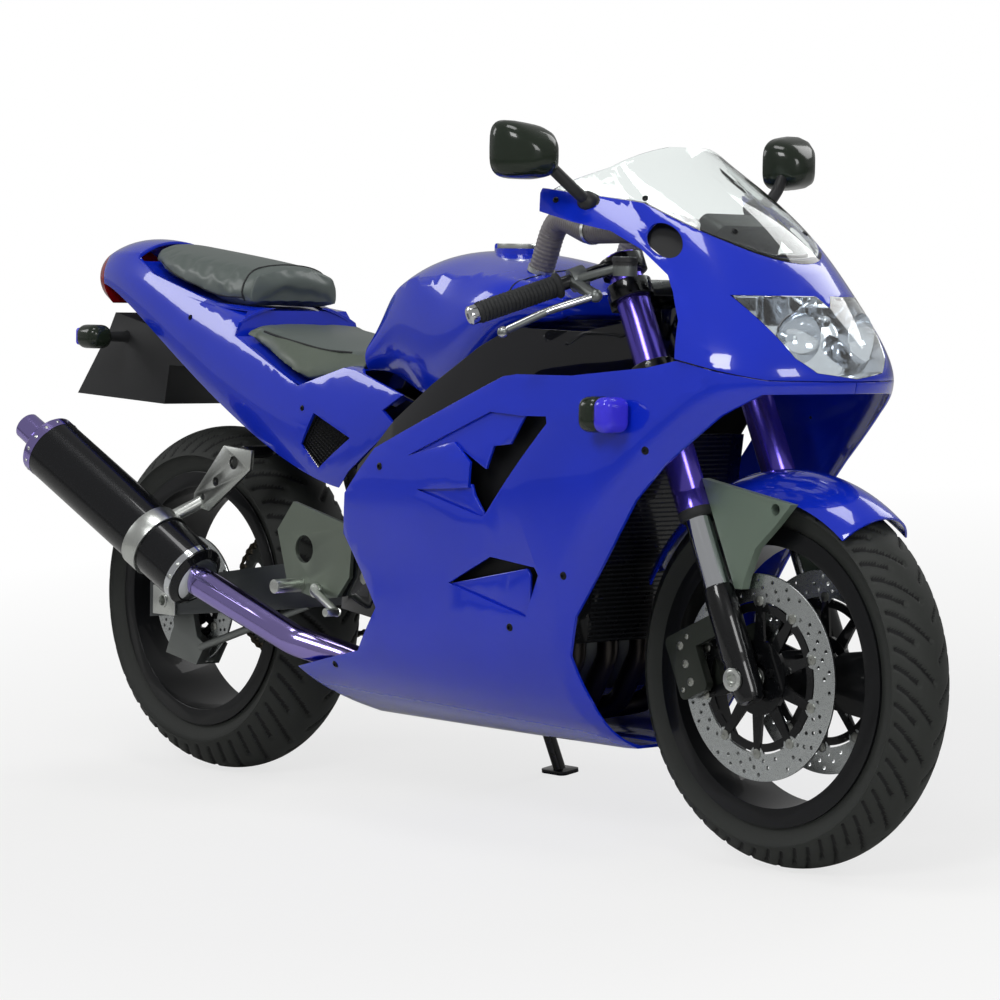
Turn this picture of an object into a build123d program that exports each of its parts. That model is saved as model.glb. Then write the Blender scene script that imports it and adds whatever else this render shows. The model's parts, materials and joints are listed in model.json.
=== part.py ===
from build123d import *
import os
from math import atan2, cos, degrees, hypot, pi, radians, sin, tan

# Sport bike with a full fairing, parked on its side stand.
# Each piece is drawn upright: +X forward, +Y to the rider's left, +Z up, with the rear
# axle above the origin. At the end the whole machine leans onto its stand.

os.makedirs("parts", exist_ok=True)

# Driving dimensions, in millimetres and degrees
wheelbase = 1430
cockpit_height = 1000          # heights of the bodywork are shares of this
body_half_width = 250          # widths of the bodywork are shares of this
lean = 8
rake = 24.5
trail = 98
steering_lock = 28
running_gap = 0.3
moving_gap = 6
press_gap = 0.03              # between pieces of one body that are clamped or pressed together
overrun = 400                  # how far a cutting profile runs past what it cuts
bend_ratio = 2.5               # bend of a bar, in radii of the bar

# Wheels: radius, tyre width and rim of each
rim_radius = 233
rim_seat_radius = 217
rim_bore_radius = 203
flange_width = 5
tyre_shoulder_radius = 262
front_tyre_radius = 300
front_tyre_width = 120
front_rim_width = 110
rear_tyre_radius = 315
rear_tyre_width = 178
rear_rim_width = 150
spoke_count = 3
spoke_start_angle = 30
spoke_thickness = 36
spoke_hub_width = 62
spoke_rim_width = 112
spoke_window_length = 92
spoke_window_width = 44
hub_radius = 38
front_hub_width = 112
rear_hub_width = 150

# Axles
front_axle_radius = 12
front_axle_bore = 8
front_axle_length = 270
front_spacer_radius = 16.8
front_axle_head_radius = 18
rear_axle_radius = 12.5
rear_axle_bore = 9
rear_axle_length = 318

# Brakes
front_disc_radius = 160
front_disc_band = 42
front_disc_thickness = 4.5
front_disc_y = 73
rear_disc_radius = 115
rear_disc_band = 38
rear_disc_thickness = 5
rear_disc_y = -84
carrier_thickness = 8
carrier_radius = 52
carrier_arms = 5
carrier_arm_width = 26

# Fork
leg_y = 105
outer_tube_radius = 27
stanchion_radius = 20.5
lower_radius = 24
outer_from = 268
outer_to_share = 0.708        # heights along the legs that follow the cockpit height
stanchion_to_share = 0.560
lower_yoke_share = 0.487
upper_yoke_share = 0.632
clip_share = 0.676
lower_from = -38
lower_to = 150
lower_yoke_height = 34
upper_yoke_height = 28
yoke_lobe_radius = 36
stem_radius = 20
head_tube_radius = 34
clip_height = 26
yoke_gap = 3                  # between the head tube and each yoke

# Front end helpers worked out from the dimensions above
rake_angle = radians(rake)
lean_angle = radians(lean)
front_crown = ((front_tyre_width / 2) ** 2 + (front_tyre_radius - tyre_shoulder_radius) ** 2) / (
    2 * (front_tyre_radius - tyre_shoulder_radius))
rear_crown = ((rear_tyre_width / 2) ** 2 + (rear_tyre_radius - tyre_shoulder_radius) ** 2) / (
    2 * (rear_tyre_radius - tyre_shoulder_radius))
# A leaning tyre rolls onto its crown, which lowers its axle a little: the axles start that much up
front_z = front_tyre_radius + front_crown * (1 - cos(lean_angle)) / cos(lean_angle)
rear_z = rear_tyre_radius + rear_crown * (1 - cos(lean_angle)) / cos(lean_angle)
outer_to = outer_to_share * cockpit_height
stanchion_to = stanchion_to_share * cockpit_height
lower_yoke_from = lower_yoke_share * cockpit_height
upper_yoke_from = upper_yoke_share * cockpit_height
clip_from = clip_share * cockpit_height
# The fork legs run this far ahead of the steering axis
fork_offset = front_z * sin(rake_angle) - trail * cos(rake_angle)

pieces = {}


def keep(name, piece):
    """Remember a finished piece under the name of its file."""
    pieces[name] = piece.part


def side_points(shares):
    """Side-view shares of the wheelbase and the cockpit height, as millimetres."""
    return [(x * wheelbase, z * cockpit_height) for x, z in shares]


def placed(shares):
    """A point given as shares of the wheelbase, the half-width and the cockpit height."""
    x, y, z = shares
    return (x * wheelbase, y * body_half_width, z * cockpit_height)


def side_plane(y):
    """Side-view plane at a distance y to the left; a positive extrusion goes to the right."""
    return Plane.XZ.offset(-y)


def wheel_plane(x, z):
    """Plane across a wheel, through its axle: local x is +Y and local y is +Z."""
    return Plane(origin=(x, 0, z), x_dir=(0, 1, 0), z_dir=(1, 0, 0))


def fork_plane(along, ahead=0, across=0):
    """Plane square to the fork: along the legs from the axle, ahead of them and across."""
    origin = (
        wheelbase - along * sin(rake_angle) + ahead * cos(rake_angle),
        across,
        front_z + along * cos(rake_angle) + ahead * sin(rake_angle),
    )
    return Plane(origin=origin, x_dir=(cos(rake_angle), 0, sin(rake_angle)),
                 z_dir=(-sin(rake_angle), 0, cos(rake_angle)))


def fork_side_plane(across):
    """Side view of the fork: local x is ahead of the leg, local y is along it."""
    return Plane(origin=(wheelbase, across, front_z),
                 x_dir=(cos(rake_angle), 0, sin(rake_angle)), z_dir=(0, -1, 0))


def rod_plane(start, end):
    """Plane square to a rod, at its start."""
    return Plane(origin=start, z_dir=Vector(*end) - Vector(*start))


def span(start, end):
    """Distance between two points."""
    return (Vector(*end) - Vector(*start)).length


def between(start, end, share):
    """Point at a share of the way from start to end."""
    return tuple(a + (b - a) * share for a, b in zip(start, end))


def mirrored(point):
    """The same point on the other side of the machine."""
    return (point[0], -point[1], point[2])


def rod(start, end, radius):
    """Round bar between two points, added to the part being built."""
    with Locations(rod_plane(start, end)):
        Cylinder(radius, span(start, end), align=(Align.CENTER, Align.CENTER, Align.MIN))


def bar_run(points, radius):
    """Round bar through a list of points, bent at each corner, added to the part being built."""
    with BuildLine() as path:
        FilletPolyline(*points, radius=bend_ratio * radius)
    with BuildSketch(Plane(origin=path.line @ 0, z_dir=path.line % 0)) as section:
        Circle(radius)
    sweep(section.sketch, path=path.line)


# Wheels

def rim(x, z, width, hub_width):
    """Cast wheel with three windowed spokes."""
    half = width / 2
    axis = Axis((x, 0, z), (0, 1, 0))
    with BuildPart() as wheel:
        with BuildSketch(wheel_plane(x, z)):
            with BuildLine():
                Polyline((-half, rim_radius), (-half + flange_width, rim_radius),
                         (-half + flange_width, rim_seat_radius), (half - flange_width, rim_seat_radius),
                         (half - flange_width, rim_radius), (half, rim_radius),
                         (half, rim_bore_radius), (-half, rim_bore_radius), close=True)
            make_face()
        revolve(axis=axis)
        hub_plane = Plane(origin=(x, 0, z), x_dir=(1, 0, 0), z_dir=(0, -1, 0))
        spoke_from = hub_radius * cos(pi / spoke_count) / 2
        spoke_to = rim_bore_radius + flange_width / 2
        window_centre = (spoke_from + spoke_to) / 2 + spoke_window_width / 2
        with BuildSketch(hub_plane):
            Circle(hub_radius)
            with PolarLocations(0, spoke_count, start_angle=spoke_start_angle):
                with BuildLine():
                    Polyline((spoke_from, -spoke_hub_width / 2), (spoke_to, -spoke_rim_width / 2),
                             (spoke_to, spoke_rim_width / 2), (spoke_from, spoke_hub_width / 2),
                             close=True)
                make_face()
            with PolarLocations(window_centre, spoke_count, start_angle=spoke_start_angle):
                SlotOverall(spoke_window_length, spoke_window_width, mode=Mode.SUBTRACT)
        extrude(amount=spoke_thickness / 2, both=True)
        with BuildSketch(hub_plane):
            Circle(hub_radius)
        extrude(amount=hub_width / 2, both=True)
    return wheel


def tyre(x, z, radius, width, rim_width):
    """Tyre with a round crown, filled down to the rim."""
    seat = rim_width / 2 - flange_width - running_gap
    bead = rim_seat_radius + running_gap
    with BuildPart() as ring:
        with BuildSketch(wheel_plane(x, z)):
            with BuildLine():
                Polyline((-width / 2, tyre_shoulder_radius), (-seat, rim_radius + flange_width),
                         (-seat, bead), (seat, bead), (seat, rim_radius + flange_width),
                         (width / 2, tyre_shoulder_radius))
                ThreePointArc((width / 2, tyre_shoulder_radius), (0, radius),
                              (-width / 2, tyre_shoulder_radius))
            make_face()
        revolve(axis=Axis((x, 0, z), (0, 1, 0)))
    return ring


def disc(x, z, y, radius, band, thickness):
    """Brake disc: a ring on a carrier with arms."""
    face = Plane(origin=(x, y, z), x_dir=(1, 0, 0), z_dir=(0, -1, 0))
    with BuildPart() as rotor:
        with BuildSketch(face):
            Circle(radius)
            Circle(radius - band, mode=Mode.SUBTRACT)
        extrude(amount=thickness / 2, both=True)
        with BuildSketch(face):
            Circle(carrier_radius)
            with PolarLocations((radius - band + carrier_radius) / 2, carrier_arms):
                Rectangle(radius - band - carrier_radius + carrier_thickness, carrier_arm_width)
        extrude(amount=carrier_thickness / 2, both=True)
    return rotor


def bored(wheel, x, z, radius, length):
    """Cut an axle hole through a wheel piece."""
    with BuildPart() as cut:
        add(wheel.part)
        with BuildSketch(Plane(origin=(x, 0, z), x_dir=(1, 0, 0), z_dir=(0, -1, 0))):
            Circle(radius)
        extrude(amount=length, both=True, mode=Mode.SUBTRACT)
    return cut


front_hole = front_axle_radius + running_gap
rear_hole = rear_axle_radius + running_gap
keep("front_rim", bored(rim(wheelbase, front_z, front_rim_width, front_hub_width),
                        wheelbase, front_z, front_hole, overrun))
keep("front_tyre", tyre(wheelbase, front_z, front_tyre_radius, front_tyre_width, front_rim_width))
keep("rear_rim", bored(rim(0, rear_z, rear_rim_width, rear_hub_width), 0, rear_z, rear_hole, overrun))
keep("rear_tyre", tyre(0, rear_z, rear_tyre_radius, rear_tyre_width, rear_rim_width))

with BuildPart() as front_discs:
    for side in (-1, 1):
        add(disc(wheelbase, front_z, side * front_disc_y, front_disc_radius, front_disc_band,
                 front_disc_thickness).part)
        inner_face = side * front_hub_width / 2
        outer_face = side * (front_disc_y - carrier_thickness / 2)
        with BuildSketch(side_plane(inner_face)):
            with Locations((wheelbase, front_z)):
                Circle(hub_radius)
        extrude(amount=inner_face - outer_face)
    with BuildSketch(Plane(origin=(wheelbase, 0, front_z), x_dir=(1, 0, 0), z_dir=(0, -1, 0))):
        Circle(front_hole)
    extrude(amount=overrun, both=True, mode=Mode.SUBTRACT)
keep("front_discs", front_discs)

with BuildPart() as rear_disc:
    add(disc(0, rear_z, rear_disc_y, rear_disc_radius, rear_disc_band, rear_disc_thickness).part)
    with BuildSketch(side_plane(-rear_hub_width / 2)):
        with Locations((0, rear_z)):
            Circle(hub_radius)
    extrude(amount=-rear_disc_y - rear_hub_width / 2)
    with BuildSketch(Plane(origin=(0, 0, rear_z), x_dir=(1, 0, 0), z_dir=(0, -1, 0))):
        Circle(rear_hole)
    extrude(amount=overrun, both=True, mode=Mode.SUBTRACT)
keep("rear_disc", rear_disc)

# Chain drive on the left
sprocket_radius = 98
sprocket_thickness = 6
chain_y = 105
chain_width = 14
chain_depth = 12
front_sprocket_radius = 36
front_sprocket_share = (0.4895, 0.000, 0.415)
front_sprocket_x, _, front_sprocket_z = placed(front_sprocket_share)
sprocket_sides = 42
sprocket_holes = 5
sprocket_hole_ring = 66
sprocket_hole_radius = 15
chain_room_gap = 18
chain_room = front_sprocket_radius + chain_depth + chain_room_gap

with BuildPart() as rear_sprocket:
    with BuildSketch(side_plane(chain_y + sprocket_thickness / 2)):
        with Locations((0, rear_z)):
            RegularPolygon(sprocket_radius, sprocket_sides)
            Circle(rear_hole, mode=Mode.SUBTRACT)
            with PolarLocations(sprocket_hole_ring, sprocket_holes):
                Circle(sprocket_hole_radius, mode=Mode.SUBTRACT)
    extrude(amount=sprocket_thickness)
    with BuildSketch(side_plane(chain_y - sprocket_thickness / 2)):
        with Locations((0, rear_z)):
            Circle(hub_radius)
            Circle(rear_hole, mode=Mode.SUBTRACT)
    extrude(amount=chain_y - sprocket_thickness / 2 - rear_hub_width / 2)
keep("rear_sprocket", rear_sprocket)


def belt_sketch(rear_r, front_r):
    """Outline of a loop round both sprockets."""
    slope = atan2(front_sprocket_z - rear_z, front_sprocket_x)
    reach = hypot(front_sprocket_x, front_sprocket_z - rear_z)
    open_angle = (rear_r - front_r) / reach
    up = slope + pi / 2 - open_angle
    down = slope - pi / 2 + open_angle
    rear_up = (rear_r * cos(up), rear_z + rear_r * sin(up))
    front_up = (front_sprocket_x + front_r * cos(up), front_sprocket_z + front_r * sin(up))
    rear_down = (rear_r * cos(down), rear_z + rear_r * sin(down))
    front_down = (front_sprocket_x + front_r * cos(down), front_sprocket_z + front_r * sin(down))
    with BuildLine() as loop:
        Line(rear_up, front_up)
        ThreePointArc(front_up, (front_sprocket_x + front_r * cos(slope),
                                 front_sprocket_z + front_r * sin(slope)), front_down)
        Line(front_down, rear_down)
        ThreePointArc(rear_down, (-rear_r * cos(slope), rear_z - rear_r * sin(slope)), rear_up)
    return make_face(loop.edges())


with BuildPart() as chain:
    with BuildSketch(side_plane(chain_y + chain_width / 2)):
        belt_sketch(sprocket_radius + moving_gap + chain_depth,
                    front_sprocket_radius + chain_depth)
    extrude(amount=chain_width)
    with BuildSketch(side_plane(chain_y + chain_width / 2)):
        belt_sketch(sprocket_radius + moving_gap, front_sprocket_radius)
    extrude(amount=chain_width, mode=Mode.SUBTRACT)
keep("chain", chain)

# Side stand: down at rest, its foot flat on the floor of the leaning machine
stand_pivot_share = (0.4126, 0.696, 0.298)
stand_foot_share = (0.4280, 1.072, 0.000)
stand_leg_radius = 11
stand_boss_radius = 16
stand_boss_length = 24
stand_clear_radius = 24
stand_pin_radius = 7
stand_pin_head = 4
stand_lug_half_width = 18
stand_lug_inner_share = 0.608
stand_lug_outer_share = 0.720
stand_lug_below = 14          # from the pivot down to the lug's foot
stand_lug_above = 54
stand_foot_length = 62
stand_foot_width = 44
stand_foot_thickness = 7
stand_foot_corner_radius = 11
stand_folded = (-0.99, 0.03, 0.06)

stand_pivot = placed(stand_pivot_share)
stand_foot_x, stand_foot_y, _ = placed(stand_foot_share)
stand_lug_inner_y = stand_lug_inner_share * body_half_width
stand_lug_outer_y = stand_lug_outer_share * body_half_width
stand_lug_low_z = stand_pivot[2] - stand_lug_below
stand_lug_high_z = stand_pivot[2] + stand_lug_above
floor_normal = Vector(0, -sin(lean_angle), cos(lean_angle))
stand_foot = Vector(stand_foot_x, stand_foot_y, stand_foot_y * tan(lean_angle))
stand_down = (stand_foot - Vector(*stand_pivot)).normalized()
stand_up = Vector(*stand_folded).normalized()
stand_axis = stand_down.cross(stand_up).normalized()
stand_fold = stand_down.get_angle(stand_up)
stand_face = Plane(origin=Vector(*stand_pivot) - stand_axis * (stand_boss_length / 2 + running_gap),
                   z_dir=stand_axis)

# Frame: head tube, twin spars and pivot plates
spar_side_shares = [
    (0.822, 0.862), (0.773, 0.838), (0.741, 0.824), (0.668, 0.829), (0.552, 0.732),
    (0.483, 0.664), (0.413, 0.590), (0.392, 0.480), (0.384, 0.345), (0.448, 0.335),
    (0.467, 0.450), (0.500, 0.545), (0.587, 0.640), (0.699, 0.728), (0.755, 0.752),
    (0.822, 0.772),
]
spar_plan_shares = [  # x of the wheelbase, outer face of the half-width
    (0.822, 0.20), (0.773, 0.288), (0.706, 0.60), (0.629, 0.76), (0.490, 0.80),
    (0.448, 0.76), (0.381, 0.74),
]
spar_thickness = 32
pivot_share = (0.4266, 0.752, 0.400)   # and the half-length of the bolt
pivot_x, pivot_half_length, pivot_z = placed(pivot_share)
pivot_radius = 10
cowl_stay_half_width = 24
cowl_stay_height = 26
cowl_stay_ahead = 165
cowl_stay_overlap = 2         # how far the stay reaches into the head tube
cowl_stay_bar_y = 18
cowl_stay_bar_radius = 8
cowl_stay_shares = [(0.9245, 0.884), (0.9049, 0.944), (1.0280, 0.846)]
cowl_stay_root, cowl_stay_panel_end, cowl_stay_lamp_end = side_points(cowl_stay_shares)

head_from = lower_yoke_from + lower_yoke_height + yoke_gap
head_to = upper_yoke_from - yoke_gap
stay_along = (head_from + head_to) / 2

with BuildPart() as stand_lug:
    with BuildSketch(side_plane(stand_lug_outer_y)):
        with Locations((stand_pivot[0], (stand_lug_low_z + stand_lug_high_z) / 2)):
            Rectangle(2 * stand_lug_half_width, stand_lug_high_z - stand_lug_low_z)
    extrude(amount=stand_lug_outer_y - stand_lug_inner_y)
    with BuildSketch(stand_face):
        Circle(stand_clear_radius)
    extrude(amount=overrun, mode=Mode.SUBTRACT)
    with BuildSketch(stand_face):
        Circle(stand_pin_radius)
    extrude(amount=stand_boss_length + 2 * running_gap + stand_pin_head)
    with BuildSketch(stand_face.offset(stand_boss_length + 2 * running_gap)):
        Circle((stand_pin_radius + stand_boss_radius) / 2)
    extrude(amount=stand_pin_head)

with BuildPart() as frame:
    for side in (-1, 1):
        outer = [(x * wheelbase, side * y * body_half_width) for x, y in spar_plan_shares]
        inner = [(x, y - side * spar_thickness) for x, y in outer]
        with BuildSketch(Plane.XY):
            Polygon(*outer, *reversed(inner), align=None)
        extrude(amount=cockpit_height)
    with BuildSketch(Plane.XZ):
        Polygon(*side_points(spar_side_shares), align=None)
    extrude(amount=overrun, both=True, mode=Mode.INTERSECT)
    with BuildSketch(fork_plane(head_from, -fork_offset)):
        Circle(head_tube_radius)
    extrude(amount=head_to - head_from)
    with BuildSketch(fork_plane(head_from - overrun, -fork_offset)):
        Circle(stem_radius + running_gap)
    extrude(amount=2 * overrun, mode=Mode.SUBTRACT)
    with BuildSketch(fork_side_plane(0)):
        with Locations((-fork_offset + head_tube_radius + cowl_stay_ahead / 2, stay_along)):
            Rectangle(cowl_stay_ahead + 2 * cowl_stay_overlap, cowl_stay_height)
    extrude(amount=cowl_stay_half_width, both=True)
    for side in (-1, 1):
        for end in (cowl_stay_panel_end, cowl_stay_lamp_end):
            rod((cowl_stay_root[0], side * cowl_stay_bar_y, cowl_stay_root[1]),
                (end[0], side * cowl_stay_bar_y, end[1]), cowl_stay_bar_radius)
    add(stand_lug.part)
    with BuildSketch(side_plane(0)):
        with Locations((pivot_x, pivot_z)):
            Circle(pivot_radius + running_gap)
    extrude(amount=overrun, both=True, mode=Mode.SUBTRACT)
keep("frame", frame)

with BuildPart() as pivot_bolt:
    with BuildSketch(side_plane(pivot_half_length)):
        with Locations((pivot_x, pivot_z)):
            Circle(pivot_radius)
    extrude(amount=2 * pivot_half_length)
keep("pivot_bolt", pivot_bolt)

# Rear subframe: two rails a side under the seats
hanger_y = -168
rail_radius = 11
rail_y = 92
upper_rail_shares = [(0.470, 0.632), (0.310, 0.690), (0.070, 0.790), (-0.120, 0.868)]
lower_rail_shares = [(0.440, 0.545), (0.260, 0.640), (0.070, 0.790)]
hanger_boss_shares = [(0.1734, 0.690), (0.1734, 0.596)]
tray_post_share = 0.808


with BuildPart() as subframe:
    for side in (-1, 1):
        for shares in (upper_rail_shares, lower_rail_shares):
            bar_run([(x, side * rail_y, z) for x, z in side_points(shares)], rail_radius)
        boss_top, boss = side_points(hanger_boss_shares)
        bar_run([(boss_top[0], side * rail_y, boss_top[1]), (boss[0], side * rail_y, boss[1]),
                 (boss[0], side * -hanger_y, boss[1])], rail_radius)
    front_bar, low_bar = side_points((upper_rail_shares[0], lower_rail_shares[0]))
    rod((front_bar[0], -body_half_width, front_bar[1]), (front_bar[0], body_half_width, front_bar[1]),
        rail_radius)
    for side in (-1, 1):
        rod((low_bar[0], side * rail_y, low_bar[1]), (low_bar[0], side * body_half_width, low_bar[1]),
            rail_radius)
    rear_bar = side_points(upper_rail_shares)[-1]
    rod((rear_bar[0], -rail_y, rear_bar[1]), (rear_bar[0], rail_y, rear_bar[1]), rail_radius)
    for side in (-1, 1):
        rod((rear_bar[0], side * rail_y / 2, rear_bar[1]),
            (rear_bar[0], side * rail_y / 2, tray_post_share * cockpit_height), rail_radius)
    with BuildSketch(Plane.XY):
        for side in (-1, 1):
            outer = [(x * wheelbase, side * y * body_half_width) for x, y in spar_plan_shares]
            Polygon(*[(x, y - side * spar_thickness) for x, y in outer],
                    (outer[-1][0], side * overrun), (outer[0][0], side * overrun), align=None)
    extrude(amount=cockpit_height, mode=Mode.SUBTRACT)
keep("subframe", subframe)

# Engine: one plain block at its real place and size
engine_side_shares = [
    (0.462, 0.250), (0.680, 0.235), (0.712, 0.330), (0.706, 0.470), (0.672, 0.640),
    (0.590, 0.610), (0.520, 0.520), (0.470, 0.440),
]
engine_half_width = 146

with BuildPart() as engine:
    with BuildSketch(Plane.XZ):
        Polygon(*side_points(engine_side_shares), align=None)
    extrude(amount=engine_half_width, both=True)
    with BuildSketch(side_plane(chain_y + chain_width)):
        with Locations((front_sprocket_x, front_sprocket_z)):
            Circle(chain_room)
            Rectangle(overrun, 2 * chain_room, align=(Align.MAX, Align.CENTER))
    extrude(amount=2 * chain_width, mode=Mode.SUBTRACT)
    with BuildSketch(side_plane(chain_y + chain_width)):
        with Locations((front_sprocket_x, front_sprocket_z)):
            Circle(front_sprocket_radius - running_gap)
    extrude(amount=2 * chain_width)
keep("engine", engine)

# Radiator behind the front wheel
radiator_half_width = 165
radiator_depth = 34
radiator_low_share = (0.775, 0.330)
radiator_high_share = (0.806, 0.660)
radiator_post_shares = [(0.7888, 0.180, 0.655), (0.7776, 0.180, 0.766)]
radiator_post_radius = 8

with BuildPart() as radiator:
    low = (radiator_low_share[0] * wheelbase, radiator_low_share[1] * cockpit_height)
    high = (radiator_high_share[0] * wheelbase, radiator_high_share[1] * cockpit_height)
    with BuildSketch(Plane.XZ):
        Polygon(low, high, (high[0] - radiator_depth, high[1]), (low[0] - radiator_depth, low[1]),
                align=None)
    extrude(amount=radiator_half_width, both=True)
    for side in (-1, 1):
        foot, head = [placed((x, side * y, z)) for x, y, z in radiator_post_shares]
        rod(foot, head, radiator_post_radius)
    add(frame.part, mode=Mode.SUBTRACT)
keep("radiator", radiator)

# Exhaust: four header pipes, a collector, the pipe to the right and the silencer
header_radius = 18
header_ys = (-108, -36, 36, 108)
header_shares = [(0.680, 0.560), (0.735, 0.500), (0.735, 0.300), (0.700, 0.212)]
collector_radius = 30
collector_shares = [(0.640, 0.198), (0.500, 0.212)]
mid_pipe_shares = [
    (0.5000, 0.000, 0.212), (0.4196, -0.380, 0.222), (0.3497, -0.560, 0.256),
    (0.3007, -0.760, 0.280), (0.1434, -0.924, 0.370),
]
mid_pipe_radius = 27
silencer_shares = [(0.1469, -0.920, 0.368), (-0.1147, -1.200, 0.596)]
silencer_front, silencer_rear = [placed(point) for point in silencer_shares]
silencer_radius = 57
outlet_radius = 25
outlet_length = 62
strap_share = 0.29
strap_width = 34
strap_thickness = 4

with BuildPart() as exhaust_pipe:
    collector = side_points(collector_shares)
    for y in header_ys:
        points = [(x, y, z) for x, z in side_points(header_shares)]
        joint = (collector[0][0] + collector_radius, y / 2, collector[0][1])
        bar_run([*points, joint, (collector[0][0] - collector_radius, 0, collector[0][1])],
                header_radius)
    rod((collector[0][0], 0, collector[0][1]), (collector[1][0], 0, collector[1][1]), collector_radius)
    bar_run([placed(point) for point in mid_pipe_shares], mid_pipe_radius)
    add(engine.part, mode=Mode.SUBTRACT)
    with Locations(rod_plane(silencer_front, silencer_rear)):
        Cylinder(silencer_radius, span(silencer_front, silencer_rear),
                 align=(Align.CENTER, Align.CENTER, Align.MIN), mode=Mode.SUBTRACT)
keep("exhaust_pipe", exhaust_pipe)

with BuildPart() as silencer:
    rod(silencer_front, silencer_rear, silencer_radius)
    tip = between(silencer_front, silencer_rear, 1 + outlet_length / span(silencer_front, silencer_rear))
    rod(silencer_rear, tip, outlet_radius)
keep("silencer", silencer)

# Hanger plate with three graded holes and its strap round the silencer
hanger_thickness = 6
hanger_side_shares = [
    (0.140, 0.606), (0.196, 0.600), (0.193, 0.566), (0.110, 0.488), (0.078, 0.496), (0.080, 0.518),
]
hanger_hole_shares = [(0.160, 0.577), (0.124, 0.541), (0.098, 0.512)]
hanger_hole_radii = [12, 8.5, 6]
hanger_lug = (-6, 40, 40)     # from the strap's centre to the arm's foot
hanger_arm_share = (0.090, 0.503)
hanger_arm_radius = 11

strap_centre = between(silencer_front, silencer_rear, strap_share)
with BuildPart() as silencer_hanger:
    with BuildSketch(side_plane(hanger_y)):
        Polygon(*side_points(hanger_side_shares), align=None)
        for (x, z), hole_radius in zip(side_points(hanger_hole_shares), hanger_hole_radii):
            with Locations((x, z)):
                Circle(hole_radius, mode=Mode.SUBTRACT)
    extrude(amount=hanger_thickness)
    strap_start = between(silencer_front, silencer_rear,
                          strap_share - strap_width / 2 / span(silencer_front, silencer_rear))
    with BuildSketch(rod_plane(strap_start, silencer_rear)):
        Circle(silencer_radius + running_gap + strap_thickness)
    extrude(amount=strap_width)
    foot = tuple(a + b for a, b in zip(strap_centre, hanger_lug))
    rod(foot, (hanger_arm_share[0] * wheelbase, hanger_y, hanger_arm_share[1] * cockpit_height),
        hanger_arm_radius)
    with BuildSketch(rod_plane(silencer_front, silencer_rear)):
        Circle(silencer_radius + running_gap)
    extrude(amount=span(silencer_front, silencer_rear), mode=Mode.SUBTRACT)
keep("silencer_hanger", silencer_hanger)

# Swingarm with its axle slots, and the rear axle
arm_inner_y = 116
arm_thickness = 34
arm_front_shares = [(0.240, 0.325), (0.450, 0.364), (0.450, 0.436), (0.240, 0.405)]
arm_rear_x_share = -0.034
arm_rear_above = 31           # the arm's end above and below the axle
arm_rear_below = 33
brace_side_shares = [(0.385, 0.418), (0.240, 0.402), (0.240, 0.338), (0.385, 0.348)]
adjuster_length = 66
adjuster_height = 52
adjuster_thickness = 5
rear_spacer_radius = 17.5
pivot_boss_radius = 30

with BuildPart() as swingarm:
    arm_rear_x = arm_rear_x_share * wheelbase
    for side in (-1, 1):
        with BuildSketch(side_plane(side * arm_inner_y)):
            Polygon(*side_points(arm_front_shares), (arm_rear_x, rear_z + arm_rear_above),
                    (arm_rear_x, rear_z - arm_rear_below), align=None)
        extrude(amount=-side * arm_thickness)
    with BuildSketch(Plane.XZ):
        Polygon(*side_points(brace_side_shares), align=None)
    extrude(amount=arm_inner_y + arm_thickness / 2, both=True)
    with BuildSketch(side_plane(arm_inner_y + arm_thickness)):
        with Locations((pivot_x, pivot_z)):
            Circle(pivot_boss_radius)
    extrude(amount=2 * (arm_inner_y + arm_thickness))
    with BuildSketch(side_plane(0)):
        with Locations((pivot_x, pivot_z)):
            Circle(pivot_radius + running_gap)
        with Locations((0, rear_z)):
            Circle(rear_axle_radius + running_gap)
    extrude(amount=overrun, both=True, mode=Mode.SUBTRACT)
keep("swingarm", swingarm)

with BuildPart() as rear_axle:
    with BuildSketch(side_plane(rear_axle_length / 2)):
        with Locations((0, rear_z)):
            Circle(rear_axle_radius)
    extrude(amount=rear_axle_length)
    for side in (-1, 1):
        face = side * (arm_inner_y + arm_thickness)
        with BuildSketch(side_plane(face)):
            with Locations((0, rear_z)):
                Rectangle(adjuster_length, adjuster_height)
        extrude(amount=-side * adjuster_thickness)
        if side < 0:
            spacer_end = -rear_disc_y + carrier_thickness
        else:
            spacer_end = chain_y + sprocket_thickness
        with BuildSketch(side_plane(side * spacer_end)):
            with Locations((0, rear_z)):
                Circle(rear_spacer_radius)
        extrude(amount=-side * (arm_inner_y - spacer_end))
    with BuildSketch(side_plane(0)):
        with Locations((0, rear_z)):
            Circle(rear_axle_bore)
    extrude(amount=overrun, both=True, mode=Mode.SUBTRACT)
keep("rear_axle", rear_axle)

# Rear shock ahead of the wheel
shock_shares = [(0.3636, 0.000, 0.400), (0.4476, 0.000, 0.624)]
shock_radius = 30
with BuildPart() as rear_shock:
    rod(placed(shock_shares[0]), placed(shock_shares[1]), shock_radius)
    add(swingarm.part, mode=Mode.SUBTRACT)
    add(subframe.part, mode=Mode.SUBTRACT)
keep("rear_shock", rear_shock)

# Rear caliper under the arm, with its bracket and torque rod
rear_caliper_shares = [(-0.035, 0.215), (0.030, 0.200), (0.048, 0.238), (0.016, 0.262), (-0.020, 0.262)]
rear_caliper_inner_y = -60
rear_caliper_outer_y = -112
torque_rod_shares = [(0.0364, -0.432, 0.232), (0.2741, -0.520, 0.336)]
torque_rod_radius = 7
caliper_bracket_shares = [(-0.020, 0.316), (0.018, 0.316), (0.034, 0.235), (-0.018, 0.235)]
caliper_bracket_y = -112
caliper_bracket_thickness = 12
caliper_eye_radius = 25

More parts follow.
